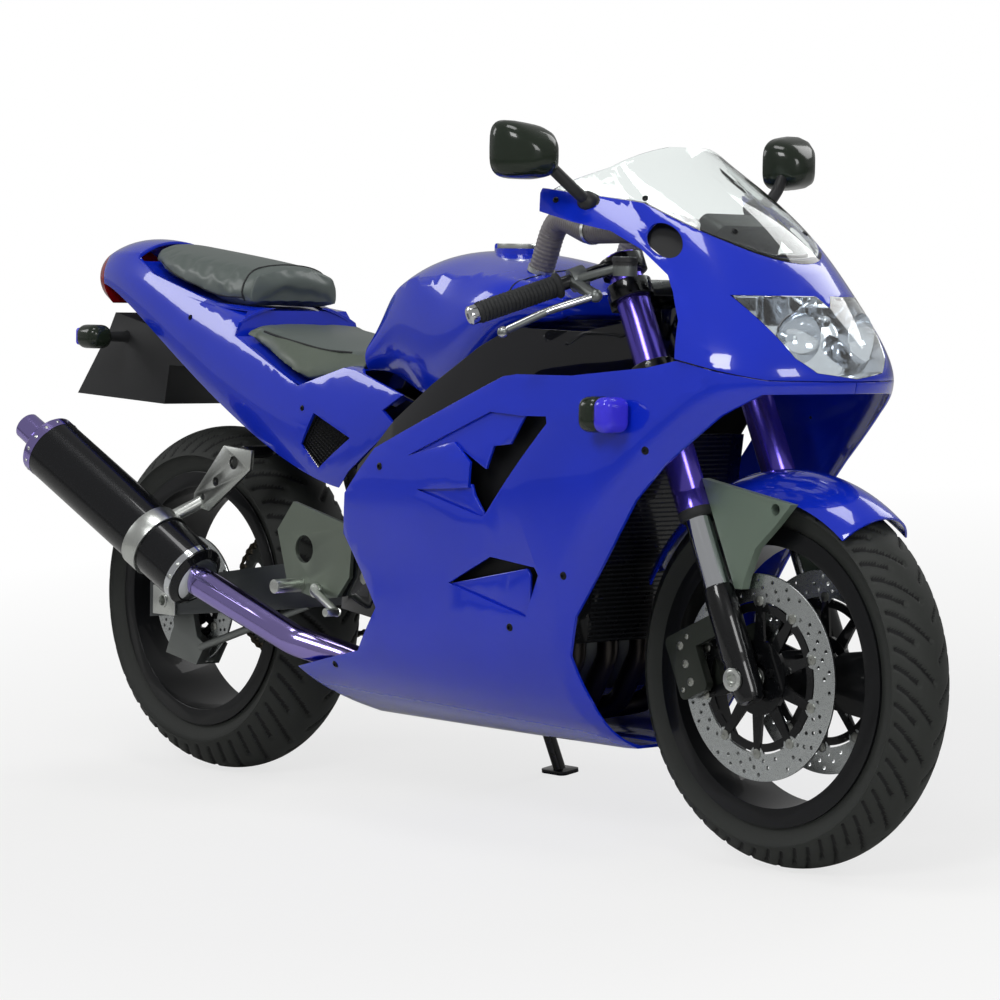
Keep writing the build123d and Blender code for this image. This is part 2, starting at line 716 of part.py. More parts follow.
with BuildPart() as rear_caliper:
    with BuildSketch(side_plane(rear_caliper_inner_y)):
        Polygon(*side_points(rear_caliper_shares), align=None)
    extrude(amount=rear_caliper_inner_y - rear_caliper_outer_y)
    with BuildSketch(side_plane(rear_disc_y + moving_gap + rear_disc_thickness / 2)):
        with Locations((0, rear_z)):
            Circle(rear_disc_radius + moving_gap)
    extrude(amount=2 * moving_gap + rear_disc_thickness, mode=Mode.SUBTRACT)
    with BuildSketch(side_plane(caliper_bracket_y + caliper_bracket_thickness)):
        Polygon(*side_points(caliper_bracket_shares), align=None)
        with Locations((0, rear_z)):
            Circle(caliper_eye_radius)
            Circle(rear_spacer_radius + running_gap, mode=Mode.SUBTRACT)
    extrude(amount=caliper_bracket_thickness)
    rod(placed(torque_rod_shares[0]), placed(torque_rod_shares[1]), torque_rod_radius)
    add(swingarm.part, mode=Mode.SUBTRACT)
keep("rear_caliper", rear_caliper)

# Fork
with BuildPart() as fork_outers:
    for side in (-1, 1):
        with BuildSketch(fork_plane(outer_from, 0, side * leg_y)):
            Circle(outer_tube_radius)
            Circle(stanchion_radius + running_gap, mode=Mode.SUBTRACT)
        extrude(amount=outer_to - outer_from)
keep("fork_outers", fork_outers)

with BuildPart() as fork_inners:
    for side in (-1, 1):
        with BuildSketch(fork_plane(lower_to, 0, side * leg_y)):
            Circle(stanchion_radius)
        extrude(amount=stanchion_to - lower_to)
keep("fork_inners", fork_inners)

with BuildPart() as fork_lowers:
    for side in (-1, 1):
        with BuildSketch(fork_plane(lower_from, 0, side * leg_y)):
            Circle(lower_radius)
        extrude(amount=lower_to - lower_from)
    with BuildSketch(side_plane(0)):
        with Locations((wheelbase, front_z)):
            Circle(front_axle_radius)
    extrude(amount=overrun, both=True, mode=Mode.SUBTRACT)
keep("fork_lowers", fork_lowers)

with BuildPart() as front_axle:
    with BuildSketch(side_plane(front_axle_length / 2)):
        with Locations((wheelbase, front_z)):
            Circle(front_axle_radius - press_gap)
    extrude(amount=front_axle_length)
    for side in (-1, 1):
        collar_from = front_disc_y + carrier_thickness / 2 + running_gap
        with BuildSketch(side_plane(side * collar_from)):
            with Locations((wheelbase, front_z)):
                Circle(front_spacer_radius)
        extrude(amount=-side * (leg_y - lower_radius - collar_from))
        with BuildSketch(side_plane(side * (leg_y + lower_radius))):
            with Locations((wheelbase, front_z)):
                Circle(front_axle_head_radius)
        extrude(amount=-side * flange_width)
    with BuildSketch(side_plane(0)):
        with Locations((wheelbase, front_z)):
            Circle(front_axle_bore)
    extrude(amount=overrun, both=True, mode=Mode.SUBTRACT)
keep("front_axle", front_axle)

with BuildPart() as fork_clamps:
    for along, height in ((lower_yoke_from, lower_yoke_height), (upper_yoke_from, upper_yoke_height)):
        with BuildSketch(fork_plane(along)):
            with Locations((0, leg_y), (0, -leg_y)):
                Circle(yoke_lobe_radius)
            with Locations((-fork_offset / 2, 0)):
                Rectangle(fork_offset + yoke_lobe_radius, 2 * leg_y)
            with Locations((-fork_offset, 0)):
                Circle(head_tube_radius)
            with Locations((0, leg_y), (0, -leg_y)):
                Circle(outer_tube_radius + press_gap, mode=Mode.SUBTRACT)
        extrude(amount=height)
    with BuildSketch(fork_plane(lower_yoke_from, -fork_offset)):
        Circle(stem_radius)
    extrude(amount=upper_yoke_from + upper_yoke_height - lower_yoke_from)
keep("fork_clamps", fork_clamps)

# Clip-on bars, grips and hand controls; the left ones mirror the right ones
bar_ahead = 14
bar_root_y = -118
bar_reach = (-94, -220, -82)
bar_inner = tuple(fork_plane(clip_from + clip_height / 2, bar_ahead, bar_root_y).origin)
bar_outer = tuple(a + b for a, b in zip(bar_inner, bar_reach))
bar_radius = 11
grip_radius = 17
grip_from_share = 0.44
bar_end_radius = 15
bar_end_length = 16
clip_wall = 9
lever_offsets = [(26, -82, -52), (-8, -154, -78), (-34, -220, -110)]   # from the bar's root
lever_points = [tuple(a + b for a, b in zip(bar_inner, offset)) for offset in lever_offsets]
lever_radius = 6
lever_ball_radius = 9
lever_root_radius = 9.6
lever_pivot_radius = 10.8
reservoir_arm_radius = 7.2
perch_share = 0.36
perch_radius = 19
perch_length = 24
reservoir_offset = (68, -60, -6)
reservoir_centre = tuple(a + b for a, b in zip(bar_inner, reservoir_offset))
reservoir_radius = 19
reservoir_height = 30

with BuildPart() as handlebars:
    for side in (-1, 1):
        start, end = (bar_inner, bar_outer) if side < 0 else (mirrored(bar_inner), mirrored(bar_outer))
        with BuildSketch(fork_plane(clip_from, 0, side * leg_y)):
            Circle(outer_tube_radius + clip_wall)
        extrude(amount=clip_height)
        rod(start, end, bar_radius)
        with BuildSketch(fork_plane(clip_from - overrun, 0, side * leg_y)):
            Circle(outer_tube_radius + press_gap)
        extrude(amount=2 * overrun, mode=Mode.SUBTRACT)
keep("handlebars", handlebars)

with BuildPart() as grips:
    for side in (-1, 1):
        start, end = (bar_inner, bar_outer) if side < 0 else (mirrored(bar_inner), mirrored(bar_outer))
        grip_start = between(start, end, grip_from_share)
        past = between(start, end, 1 + bar_end_length / span(start, end))
        rod(grip_start, end, grip_radius)
        with BuildSketch(rod_plane(grip_start, end)):
            Circle(bar_radius + press_gap)
        extrude(amount=span(grip_start, end), mode=Mode.SUBTRACT)
        rod(end, past, bar_end_radius)
keep("grips", grips)

with BuildPart() as hand_controls:
    for side in (-1, 1):
        turn = (lambda point: point) if side < 0 else mirrored
        start, end = turn(bar_inner), turn(bar_outer)
        perch = between(start, end, perch_share)
        with BuildSketch(rod_plane(perch, start)):
            Circle(perch_radius)
        extrude(amount=perch_length)
        rod(perch, turn(lever_points[0]), lever_root_radius)
        bar_run([turn(point) for point in lever_points], lever_radius)
        with Locations(turn(lever_points[-1])):
            Sphere(lever_ball_radius)
        with Locations(turn(lever_points[0])):
            Sphere(lever_pivot_radius)
        if side < 0:
            rod(perch, reservoir_centre, reservoir_arm_radius)
            with Locations(reservoir_centre):
                Cylinder(reservoir_radius, reservoir_height)
        with BuildSketch(rod_plane(start, end)):
            Circle(bar_radius + press_gap)
        extrude(amount=span(start, end), mode=Mode.SUBTRACT)
keep("hand_controls", hand_controls)

# Front mudguard, hugging the tyre
guard_gap = 15
guard_thickness = 4
guard_half_width = 72
guard_shoulder_radius = 276
guard_front_angle = 53
guard_sweep = 100
guard_stay_along = 290
guard_stay_inner_y = 60
guard_stay_radius = 7

guard_start = Plane(
    origin=(wheelbase, 0, front_z), x_dir=(0, 1, 0),
    z_dir=(sin(radians(guard_front_angle)), 0, -cos(radians(guard_front_angle))))
with BuildPart() as front_mudguard:
    inner_radius = front_tyre_radius + guard_gap
    with BuildSketch(guard_start):
        with BuildLine():
            ThreePointArc((guard_half_width - guard_thickness, guard_shoulder_radius),
                          (0, inner_radius), (guard_thickness - guard_half_width, guard_shoulder_radius))
            Line((guard_thickness - guard_half_width, guard_shoulder_radius),
                 (-guard_half_width, guard_shoulder_radius))
            ThreePointArc((-guard_half_width, guard_shoulder_radius),
                          (0, inner_radius + guard_thickness), (guard_half_width, guard_shoulder_radius))
            Line((guard_half_width, guard_shoulder_radius),
                 (guard_half_width - guard_thickness, guard_shoulder_radius))
        make_face()
    revolve(axis=Axis((wheelbase, 0, front_z), (0, -1, 0)), revolution_arc=guard_sweep)
    for side in (-1, 1):
        inner_end = fork_plane(guard_stay_along, 0, side * guard_stay_inner_y).origin
        outer_end = fork_plane(guard_stay_along, 0, side * leg_y).origin
        rod(tuple(inner_end), tuple(outer_end), guard_stay_radius)
    for side in (-1, 1):
        with BuildSketch(fork_plane(outer_from, 0, side * leg_y)):
            Circle(outer_tube_radius + press_gap)
        extrude(amount=outer_to - outer_from, mode=Mode.SUBTRACT)
keep("front_mudguard", front_mudguard)

# Fork guards: fins ahead of the legs, each with a hole near the tip
fin_inner_y = 81
fin_thickness = 16
fin_shares = [
    (0.924, 0.602), (1.058, 0.571), (1.034, 0.536), (1.006, 0.500), (0.992, 0.456),
    (0.988, 0.436), (0.962, 0.436), (0.940, 0.480),
]
fin_hole_share = (1.035, 0.562)
fin_hole_radius = 9

with BuildPart() as fork_guards:
    for side in (-1, 1):
        with BuildSketch(side_plane(side * fin_inner_y)):
            Polygon(*side_points(fin_shares), align=None)
            with Locations((fin_hole_share[0] * wheelbase, fin_hole_share[1] * cockpit_height)):
                Circle(fin_hole_radius, mode=Mode.SUBTRACT)
        extrude(amount=-side * fin_thickness)
        with BuildSketch(fork_plane(lower_from, 0, side * leg_y)):
            Circle(outer_tube_radius + press_gap)
        extrude(amount=outer_to - lower_from, mode=Mode.SUBTRACT)
keep("fork_guards", fork_guards)

# Front calipers behind the legs
caliper_ahead_from = -150
caliper_ahead_to = -88
caliper_along_from = 14
caliper_along_to = 118
caliper_inner_y = 50
caliper_outer_y = 98
caliper_arm_height = 34
caliper_arm_ahead = -10
caliper_corner_radius = 11
caliper_slot = carrier_thickness + 2 * moving_gap

with BuildPart() as front_calipers:
    for side in (-1, 1):
        with BuildSketch(fork_side_plane(side * caliper_inner_y)):
            with Locations(((caliper_ahead_from + caliper_ahead_to) / 2,
                            (caliper_along_from + caliper_along_to) / 2)):
                RectangleRounded(caliper_ahead_to - caliper_ahead_from,
                                 caliper_along_to - caliper_along_from, caliper_corner_radius)
        extrude(amount=-side * (caliper_outer_y - caliper_inner_y))
        with BuildSketch(side_plane(side * (front_disc_y - caliper_slot / 2))):
            with Locations((wheelbase, front_z)):
                Circle(front_disc_radius + moving_gap)
        extrude(amount=-side * caliper_slot, mode=Mode.SUBTRACT)
        with BuildSketch(fork_side_plane(side * (front_disc_y + caliper_slot / 2))):
            with Locations((caliper_arm_ahead, caliper_along_to)):
                Rectangle(caliper_arm_ahead - caliper_ahead_to + caliper_arm_height, caliper_arm_height,
                          align=(Align.MAX, Align.MAX))
        extrude(amount=-side * (caliper_outer_y - front_disc_y - caliper_slot / 2))
        with BuildSketch(fork_plane(lower_from, 0, side * leg_y)):
            Circle(lower_radius + press_gap)
        extrude(amount=outer_to - lower_from, mode=Mode.SUBTRACT)
keep("front_calipers", front_calipers)

# Envelopes of the bodywork: plan sections stacked upwards, as shares
# columns: height, rear x, rear half-width, mid x, mid half-width, shoulder x and half-width, nose x
fairing_section_shares = [
    (0.160, 0.240, 0.26, 0.600, 0.30, 0.790, 0.28, 0.830),
    (0.190, 0.240, 0.52, 0.600, 0.58, 0.790, 0.52, 0.850),
    (0.245, 0.240, 0.73, 0.600, 0.82, 0.790, 0.72, 0.870),
    (0.360, 0.240, 0.81, 0.620, 0.945, 0.795, 0.88, 0.902),
    (0.520, 0.240, 0.84, 0.640, 1.010, 0.832, 0.93, 0.972),
    (0.640, 0.240, 0.84, 0.640, 1.025, 0.902, 0.912, 1.035),
    (0.757, 0.240, 0.84, 0.640, 0.990, 1.000, 0.780, 1.085),
    (0.800, 0.240, 0.84, 0.640, 0.960, 1.000, 0.760, 1.070),
]
cowl_section_shares = [
    (0.720, 0.700, 0.96, 0.850, 0.965, 0.970, 0.820, 1.068),
    (0.757, 0.700, 0.96, 0.850, 0.960, 1.000, 0.780, 1.085),
    (0.850, 0.700, 0.94, 0.850, 0.930, 0.968, 0.712, 1.054),
    (0.931, 0.720, 0.94, 0.840, 0.880, 0.916, 0.660, 1.007),
    (1.030, 0.755, 0.93, 0.805, 0.770, 0.842, 0.600, 0.924),
    (1.118, 0.765, 0.52, 0.783, 0.465, 0.797, 0.400, 0.830),
]
panel_wall = 5


def envelope(section_shares, inset, floor=0):
    """Solid through plan sections, drawn in by inset, with its floor raised."""
    with BuildPart() as body:
        for index, section in enumerate(section_shares):
            height, rear_x, rear_y, mid_x, mid_y, shoulder_x, shoulder_y, nose_x = section
            rise = floor if index == 0 else 0
            rear = (rear_x * wheelbase - inset, rear_y * body_half_width - inset)
            mid = (mid_x * wheelbase, mid_y * body_half_width - inset)
            shoulder = (shoulder_x * wheelbase, shoulder_y * body_half_width - inset)
            with BuildSketch(Plane.XY.offset(height * cockpit_height + rise)):
                with BuildLine():
                    Line((rear[0], -rear[1]), rear)
                    ThreePointArc(rear, mid, shoulder)
                    ThreePointArc(shoulder, (nose_x * wheelbase - inset, 0),
                                  (shoulder[0], -shoulder[1]))
                    ThreePointArc((shoulder[0], -shoulder[1]), (mid[0], -mid[1]), (rear[0], -rear[1]))
                make_face()
        loft()
    return body


def fairing_shell():
    """Hollow shell of the side panels and the belly."""
    with BuildPart() as shell:
        add(envelope(fairing_section_shares, 0).part)
        add(envelope(fairing_section_shares, panel_wall, panel_wall).part, mode=Mode.SUBTRACT)
    return shell


def cowl_shell(wall):
    """Hollow shell of the nose and the screen."""
    with BuildPart() as shell:
        add(envelope(cowl_section_shares, 0).part)
        add(envelope(cowl_section_shares, wall).part, mode=Mode.SUBTRACT)
    return shell


fairing_upper_shares = [
    (0.713, 0.752), (0.733, 0.756), (0.815, 0.757), (0.918, 0.773), (0.956, 0.785),
    (1.049, 0.7575), (1.120, 0.7555), (1.100, 0.740), (1.044, 0.737), (1.007, 0.704),
    (0.941, 0.624), (0.904, 0.569), (0.878, 0.516), (0.814, 0.380), (0.800, 0.316), (0.806, 0.240),
    (0.806, 0.100),
]
fairing_rear_right_shares = [
    (0.400, 0.100), (0.350, 0.186), (0.306, 0.237), (0.448, 0.283), (0.490, 0.360), (0.465, 0.416),
    (0.433, 0.479), (0.441, 0.547), (0.499, 0.625),
]
fairing_rear_left_shares = [
    (0.455, 0.100), (0.462, 0.270), (0.490, 0.360), (0.465, 0.416),
    (0.433, 0.479), (0.441, 0.547), (0.499, 0.625),
]
# the vent: a slanted slot with a recessed gill, a tab and a scoop behind it
vent_shares = [
    (0.747, 0.691), (0.783, 0.692), (0.785, 0.681), (0.691, 0.531), (0.685, 0.527), (0.578, 0.563),
    (0.666, 0.572), (0.669, 0.613), (0.641, 0.644), (0.562, 0.617), (0.696, 0.695),
]
louvre_shares = [(0.695, 0.464), (0.763, 0.453), (0.768, 0.441), (0.744, 0.372), (0.623, 0.415)]
vane_shares = [
    [(0.555, 0.614), (0.694, 0.700), (0.750, 0.697), (0.728, 0.645), (0.703, 0.641), (0.701, 0.638),
     (0.691, 0.603), (0.664, 0.622), (0.640, 0.640)],
    [(0.570, 0.566), (0.668, 0.578), (0.672, 0.560), (0.690, 0.524), (0.683, 0.520)],
    [(0.615, 0.412), (0.748, 0.450), (0.752, 0.440), (0.748, 0.366)],
]
vane_wall = 6
panel_seam = 1


def side_panel(rear_shares):
    """Right-hand side panel, with its vent and louvre, up to a rear edge."""
    with BuildPart() as panel:
        add(fairing_shell().part)
        with BuildSketch(side_plane(-panel_seam)):
            Polygon(*side_points(fairing_upper_shares + rear_shares), align=None)
            Polygon(*side_points(vent_shares), align=None, mode=Mode.SUBTRACT)
            Polygon(*side_points(louvre_shares), align=None, mode=Mode.SUBTRACT)
        extrude(amount=overrun, mode=Mode.INTERSECT)
    return panel


keep("fairing_right", side_panel(fairing_rear_right_shares))
with BuildPart() as fairing_left:
    add(side_panel(fairing_rear_left_shares).part.mirror(Plane.XZ))
keep("fairing_left", fairing_left)

# Vanes behind the vents, against the inside of the panels
with BuildPart() as vent_vanes:
    add(envelope(fairing_section_shares, panel_wall + running_gap, panel_wall).part)
    add(envelope(fairing_section_shares, panel_wall + running_gap + vane_wall,
                 panel_wall + vane_wall).part, mode=Mode.SUBTRACT)
    with BuildSketch(Plane.XZ):
        for shares in vane_shares:
            Polygon(*side_points(shares), align=None)
    extrude(amount=overrun, both=True, mode=Mode.INTERSECT)
keep("vent_vanes", vent_vanes)

# Stays that carry the side panels; each starts inside the frame or the engine
fairing_stay_shares = [(0.6503, 0.560, 0.702), (0.4825, 0.704, 0.560), (0.5315, 0.520, 0.300)]
fairing_stay_radius = 7

with BuildPart() as fairing_stays:
    for side in (-1, 1):
        for point in fairing_stay_shares:
            x, y, z = placed(point)
            rod((x, side * y, z), (x, side * (y + body_half_width), z), fairing_stay_radius)
    add(envelope(fairing_section_shares, panel_wall + running_gap, panel_wall).part, mode=Mode.INTERSECT)
    add(frame.part, mode=Mode.SUBTRACT)
    add(engine.part, mode=Mode.SUBTRACT)
keep("fairing_stays", fairing_stays)

# Nose cowl, with its headlight opening and the oval intakes
cowl_side_shares = [
    (0.757, 1.049), (0.759, 1.012), (0.800, 0.996), (0.845, 0.982), (0.883, 0.954), (0.920, 0.915),
    (0.933, 0.889),
    (0.950, 0.846), (0.957, 0.788), (1.049, 0.759), (1.200, 0.757), (1.200, 0.930),
    (1.011, 0.930), (0.958, 0.966), (0.860, 1.026), (0.769, 1.046),
]
screen_side_shares = [
    (1.100, 0.9306), (1.011, 0.9306), (0.958, 0.9667), (0.860, 1.0267), (0.769, 1.0467),
    (0.824, 1.117), (0.900, 1.150), (1.100, 1.150),
]
headlight_front_shares = [  # half-width and height, from the notch outwards and down
    (0.000, 0.869), (0.060, 0.886), (0.552, 0.886), (0.400, 0.792), (0.288, 0.770), (0.000, 0.761),
]
headlight_gap = 0.6
headlight_depth = 55
headlight_from_share = 0.930
intake_share = (0.901, 0.968)
intake_length = 76
intake_height = 40
intake_turn = -35
screen_wall = 4


def headlight_sketch(gap):
    """Front outline of the headlight, both halves, drawn in by a gap."""
    right = [(y * body_half_width, z * cockpit_height) for y, z in headlight_front_shares]
    left = [(-y, z) for y, z in reversed(right[1:-1])]
    Polygon(*right, *left, align=None)
    if gap:
        offset(amount=-gap, kind=Kind.INTERSECTION)


front_view = Plane(origin=(headlight_from_share * wheelbase, 0, 0), x_dir=(0, 1, 0), z_dir=(1, 0, 0))

with BuildPart() as upper_cowl:
    add(cowl_shell(panel_wall).part)
    with BuildSketch(Plane.XZ):
        Polygon(*side_points(cowl_side_shares), align=None)
        with Locations((intake_share[0] * wheelbase, intake_share[1] * cockpit_height)):
            Ellipse(intake_length / 2, intake_height / 2, rotation=intake_turn, mode=Mode.SUBTRACT)
    extrude(amount=overrun, both=True, mode=Mode.INTERSECT)
    with BuildSketch(front_view):
        headlight_sketch(0)
    extrude(amount=overrun, mode=Mode.SUBTRACT)
keep("upper_cowl", upper_cowl)

with BuildPart() as headlight:
    add(cowl_shell(headlight_depth).part)
    with BuildSketch(front_view):
        headlight_sketch(headlight_gap)
    extrude(amount=overrun, mode=Mode.INTERSECT)
    add(frame.part, mode=Mode.SUBTRACT)
keep("headlight", headlight)

with BuildPart() as windscreen:
    add(cowl_shell(screen_wall).part)
    with BuildSketch(Plane.XZ):
        Polygon(*side_points(screen_side_shares), align=None)
    extrude(amount=overrun, both=True, mode=Mode.INTERSECT)
keep("windscreen", windscreen)

# Tank, tail and seats: sections across the machine, as shares
# columns: x, low z, low half-width, mid z, mid half-width, shoulder z, shoulder half-width, top z
tank_section_shares = [
    (0.300, 0.748, 0.42, 0.756, 0.43, 0.766, 0.34, 0.772),
    (0.356, 0.748, 0.44, 0.770, 0.46, 0.790, 0.38, 0.806),
    (0.400, 0.745, 0.40, 0.800, 0.48, 0.860, 0.44, 0.892),
    (0.455, 0.725, 0.48, 0.810, 0.56, 0.900, 0.54, 0.942),
    (0.530, 0.711, 0.56, 0.810, 0.66, 0.910, 0.60, 0.954),
    (0.615, 0.785, 0.60, 0.860, 0.74, 0.912, 0.62, 0.943),
    (0.676, 0.834, 0.56, 0.872, 0.69, 0.902, 0.54, 0.918),
    (0.720, 0.850, 0.44, 0.862, 0.52, 0.874, 0.42, 0.884),
]
tail_section_shares = [
    (0.522, 0.600, 0.60, 0.680, 0.73, 0.760, 0.69, 0.790),
    (0.322, 0.480, 0.56, 0.620, 0.70, 0.760, 0.64, 0.790),
    (0.140, 0.575, 0.46, 0.700, 0.62, 0.820, 0.54, 0.856),
    (0.000, 0.690, 0.40, 0.790, 0.53, 0.890, 0.44, 0.920),
    (-0.140, 0.800, 0.30, 0.885, 0.41, 0.948, 0.33, 0.972),
    (-0.235, 0.862, 0.18, 0.905, 0.26, 0.936, 0.20, 0.950),
]
rider_seat_shares = [
    (0.364, 0.735, 0.45, 0.758, 0.48, 0.778, 0.40, 0.784),
    (0.322, 0.710, 0.50, 0.745, 0.54, 0.776, 0.42, 0.788),
    (0.280, 0.700, 0.58, 0.740, 0.62, 0.778, 0.46, 0.796),
    (0.210, 0.735, 0.58, 0.766, 0.60, 0.798, 0.48, 0.810),
    (0.134, 0.780, 0.53, 0.802, 0.55, 0.820, 0.46, 0.827),
]
pillion_seat_shares = [
    (0.130, 0.830, 0.38, 0.870, 0.42, 0.908, 0.36, 0.920),
    (0.068, 0.840, 0.41, 0.880, 0.45, 0.920, 0.38, 0.934),
    (-0.035, 0.870, 0.40, 0.905, 0.43, 0.940, 0.34, 0.953),
    (-0.118, 0.910, 0.26, 0.936, 0.28, 0.960, 0.22, 0.968),
]
# lines in side view where the seats rest on the tail, and the plan arc between tank and seat
rider_seat_rest_shares = [(0.371, 0.755), (0.280, 0.718), (0.130, 0.800)]
pillion_seat_rest_shares = [(0.132, 0.849), (0.068, 0.857), (-0.077, 0.908), (-0.125, 0.937)]
seat_gap = 0.6
tank_tongue_root_share = 0.362
tank_tongue_tip_share = 0.340
tank_tongue_half_share = 0.42


def cross_loft(section_shares, inset=0, drop=0):
    """Solid through sections across the machine, drawn in by inset; drop lowers its floor."""
    with BuildPart() as body:
        for x, low_z, low_y, mid_z, mid_y, high_z, high_y, top_z in section_shares:
            low = (low_y * body_half_width - inset, low_z * cockpit_height - drop)
            mid = (mid_y * body_half_width - inset, mid_z * cockpit_height)
            high = (high_y * body_half_width - inset, high_z * cockpit_height - inset)
            with BuildSketch(Plane(origin=(x * wheelbase, 0, 0), x_dir=(0, 1, 0), z_dir=(1, 0, 0))):
                with BuildLine():
                    Line((-low[0], low[1]), low)
                    ThreePointArc(low, mid, high)
                    ThreePointArc(high, (0, top_z * cockpit_height - inset), (-high[0], high[1]))
                    ThreePointArc((-high[0], high[1]), (-mid[0], mid[1]), (-low[0], low[1]))
                make_face()
        loft()
    return body


# Filler neck and lid on top of the tank
filler_share = (0.5594, 0.000, 0.957)
filler_x, _, filler_z = placed(filler_share)
filler_radius = 54
lid_radius = 50
lid_thickness = 8
lid_pin_back = 58
lid_pin_radius = 2.5
lid_tab_half_width = 12
lid_ear_thickness = 5
lid_ear_length = 10
lid_pin_x = filler_x - lid_pin_back
lid_pin_z = filler_z + running_gap + lid_thickness / 2

def tank_region(shift):
    """Plan of everything ahead of the arc between tank and seat, moved ahead by shift."""
    root = tank_tongue_root_share * wheelbase + shift
    half = tank_tongue_half_share * body_half_width
    with BuildLine() as edge:
        ThreePointArc((root, -half), (tank_tongue_tip_share * wheelbase + shift, 0), (root, half))
        Polyline((root, half), (root, overrun), (wheelbase, overrun), (wheelbase, -overrun),
                 (root, -overrun), (root, -half))
    return make_face(edge.edges())


def above(shares, gap):
    """Side view of everything above a line of points, by a gap."""
    points = [(x, z + gap) for x, z in side_points(shares)]
    return Polygon(*points, (points[-1][0], 2 * cockpit_height), (points[0][0], 2 * cockpit_height),
                   align=None)


with BuildPart() as fuel_tank:
    add(cross_loft(tank_section_shares).part)
    with BuildSketch(Plane.XY):
        tank_region(0)
    extrude(amount=2 * cockpit_height, mode=Mode.INTERSECT)
    with BuildSketch(Plane.XY.offset(filler_z)):
        with Locations((filler_x, 0)):
            Circle(filler_radius)
    extrude(amount=-filler_radius)
    ear_side = lid_tab_half_width + lid_ear_thickness + running_gap
    for side in (-1, 1):
        with BuildSketch(side_plane(side * ear_side)):
            with Locations((lid_pin_x, lid_pin_z)):
                Circle(lid_ear_length / 2)
                Rectangle(lid_ear_length, 2 * lid_thickness, align=(Align.CENTER, Align.MAX))
        extrude(amount=side * lid_ear_thickness)
    with BuildSketch(side_plane(0)):
        with Locations((lid_pin_x, lid_pin_z)):
            Circle(lid_pin_radius)
    extrude(amount=ear_side, both=True)
keep("fuel_tank", fuel_tank)

with BuildPart() as fuel_lid:
    with BuildSketch(Plane.XY.offset(filler_z + running_gap)):
        with Locations((filler_x, 0)):
            Circle(lid_radius)
        with Locations((lid_pin_x - lid_thickness / 2, 0)):
            Rectangle(lid_radius, 2 * lid_tab_half_width, align=(Align.MIN, Align.CENTER))
    extrude(amount=lid_thickness)
    with BuildSketch(side_plane(0)):
        with Locations((lid_pin_x, lid_pin_z)):
            Circle(lid_pin_radius + running_gap)
    extrude(amount=overrun, both=True, mode=Mode.SUBTRACT)
keep("fuel_lid", fuel_lid)

tail_outline_shares = [
    *rider_seat_rest_shares, *pillion_seat_rest_shares,
    (-0.125, 1.000), (-0.260, 1.000), (-0.260, 0.860), (-0.195, 0.818),
    (0.187, 0.589), (0.340, 0.518), (0.384, 0.577), (0.470, 0.655), (0.473, 0.662),
    (0.449, 0.684), (0.484, 0.7105),
]
tail_vent_shares = [(0.317, 0.673), (0.390, 0.634), (0.323, 0.578), (0.291, 0.618)]
tail_drop = 50                # how far the hollow runs below the tail's sections
tail_lamp_share = -0.218
tail_wall = 5

with BuildPart() as tail_cowl:
    add(cross_loft(tail_section_shares).part)
    add(cross_loft(tail_section_shares, tail_wall, tail_drop).part, mode=Mode.SUBTRACT)
    with BuildSketch(Plane.XZ):
        Polygon(*side_points(tail_outline_shares), align=None)
        Polygon(*side_points(tail_vent_shares), align=None, mode=Mode.SUBTRACT)
    extrude(amount=overrun, both=True, mode=Mode.INTERSECT)
    split(bisect_by=Plane.YZ.offset(tail_lamp_share * wheelbase), keep=Keep.TOP)
keep("tail_cowl", tail_cowl)

with BuildPart() as tail_lamp:
    add(cross_loft(tail_section_shares).part)
    with BuildSketch(Plane.XZ):
        Polygon(*side_points(tail_outline_shares), align=None)
    extrude(amount=overrun, both=True, mode=Mode.INTERSECT)
    split(bisect_by=Plane.YZ.offset(tail_lamp_share * wheelbase - running_gap), keep=Keep.BOTTOM)
keep("tail_lamp", tail_lamp)

with BuildPart() as rider_seat:
    add(cross_loft(rider_seat_shares).part)
    with BuildSketch(Plane.XZ):
        above(rider_seat_rest_shares, seat_gap)
    extrude(amount=overrun, both=True, mode=Mode.INTERSECT)
    with BuildSketch(Plane.XY):
        tank_region(-seat_gap)
    extrude(amount=2 * cockpit_height, mode=Mode.SUBTRACT)
keep("rider_seat", rider_seat)

with BuildPart() as pillion_seat:
    add(cross_loft(pillion_seat_shares).part)
    with BuildSketch(Plane.XZ):
        above(pillion_seat_rest_shares, seat_gap)
    extrude(amount=overrun, both=True, mode=Mode.INTERSECT)
keep("pillion_seat", pillion_seat)

# Rear mudguard under the tail, with the box that carries the number plate
undertray_half_width = 74
undertray_shares = [
    (0.350, 0.622), (0.280, 0.672), (0.070, 0.748), (-0.110, 0.812), (-0.190, 0.835),
    (-0.205, 0.800), (-0.275, 0.680), (-0.080, 0.668), (-0.070, 0.740), (0.070, 0.738),
    (0.277, 0.662), (0.345, 0.612),
]
plate_box_shares = [(-0.208, 0.780), (-0.266, 0.655), (-0.094, 0.655), (-0.088, 0.790)]

with BuildPart() as rear_mudguard:
    with BuildSketch(Plane.XZ):
        Polygon(*side_points(undertray_shares), align=None)
    extrude(amount=undertray_half_width, both=True)
    with BuildSketch(Plane.XZ):
        Polygon(*side_points(plate_box_shares), align=None)
    extrude(amount=undertray_half_width - panel_wall, both=True, mode=Mode.SUBTRACT)
    add(subframe.part, mode=Mode.SUBTRACT)
keep("rear_mudguard", rear_mudguard)

# Indicators: centre of each, its half sizes, and the share of the half-width where its stalk starts
indicator_table = [
    ((0.8825, 1.016, 0.700), (36, 28, 28), 0.928),
    ((-0.1650, 0.592, 0.790), (30, 26, 22), 0.296),
]
indicator_stalk_radius = 9

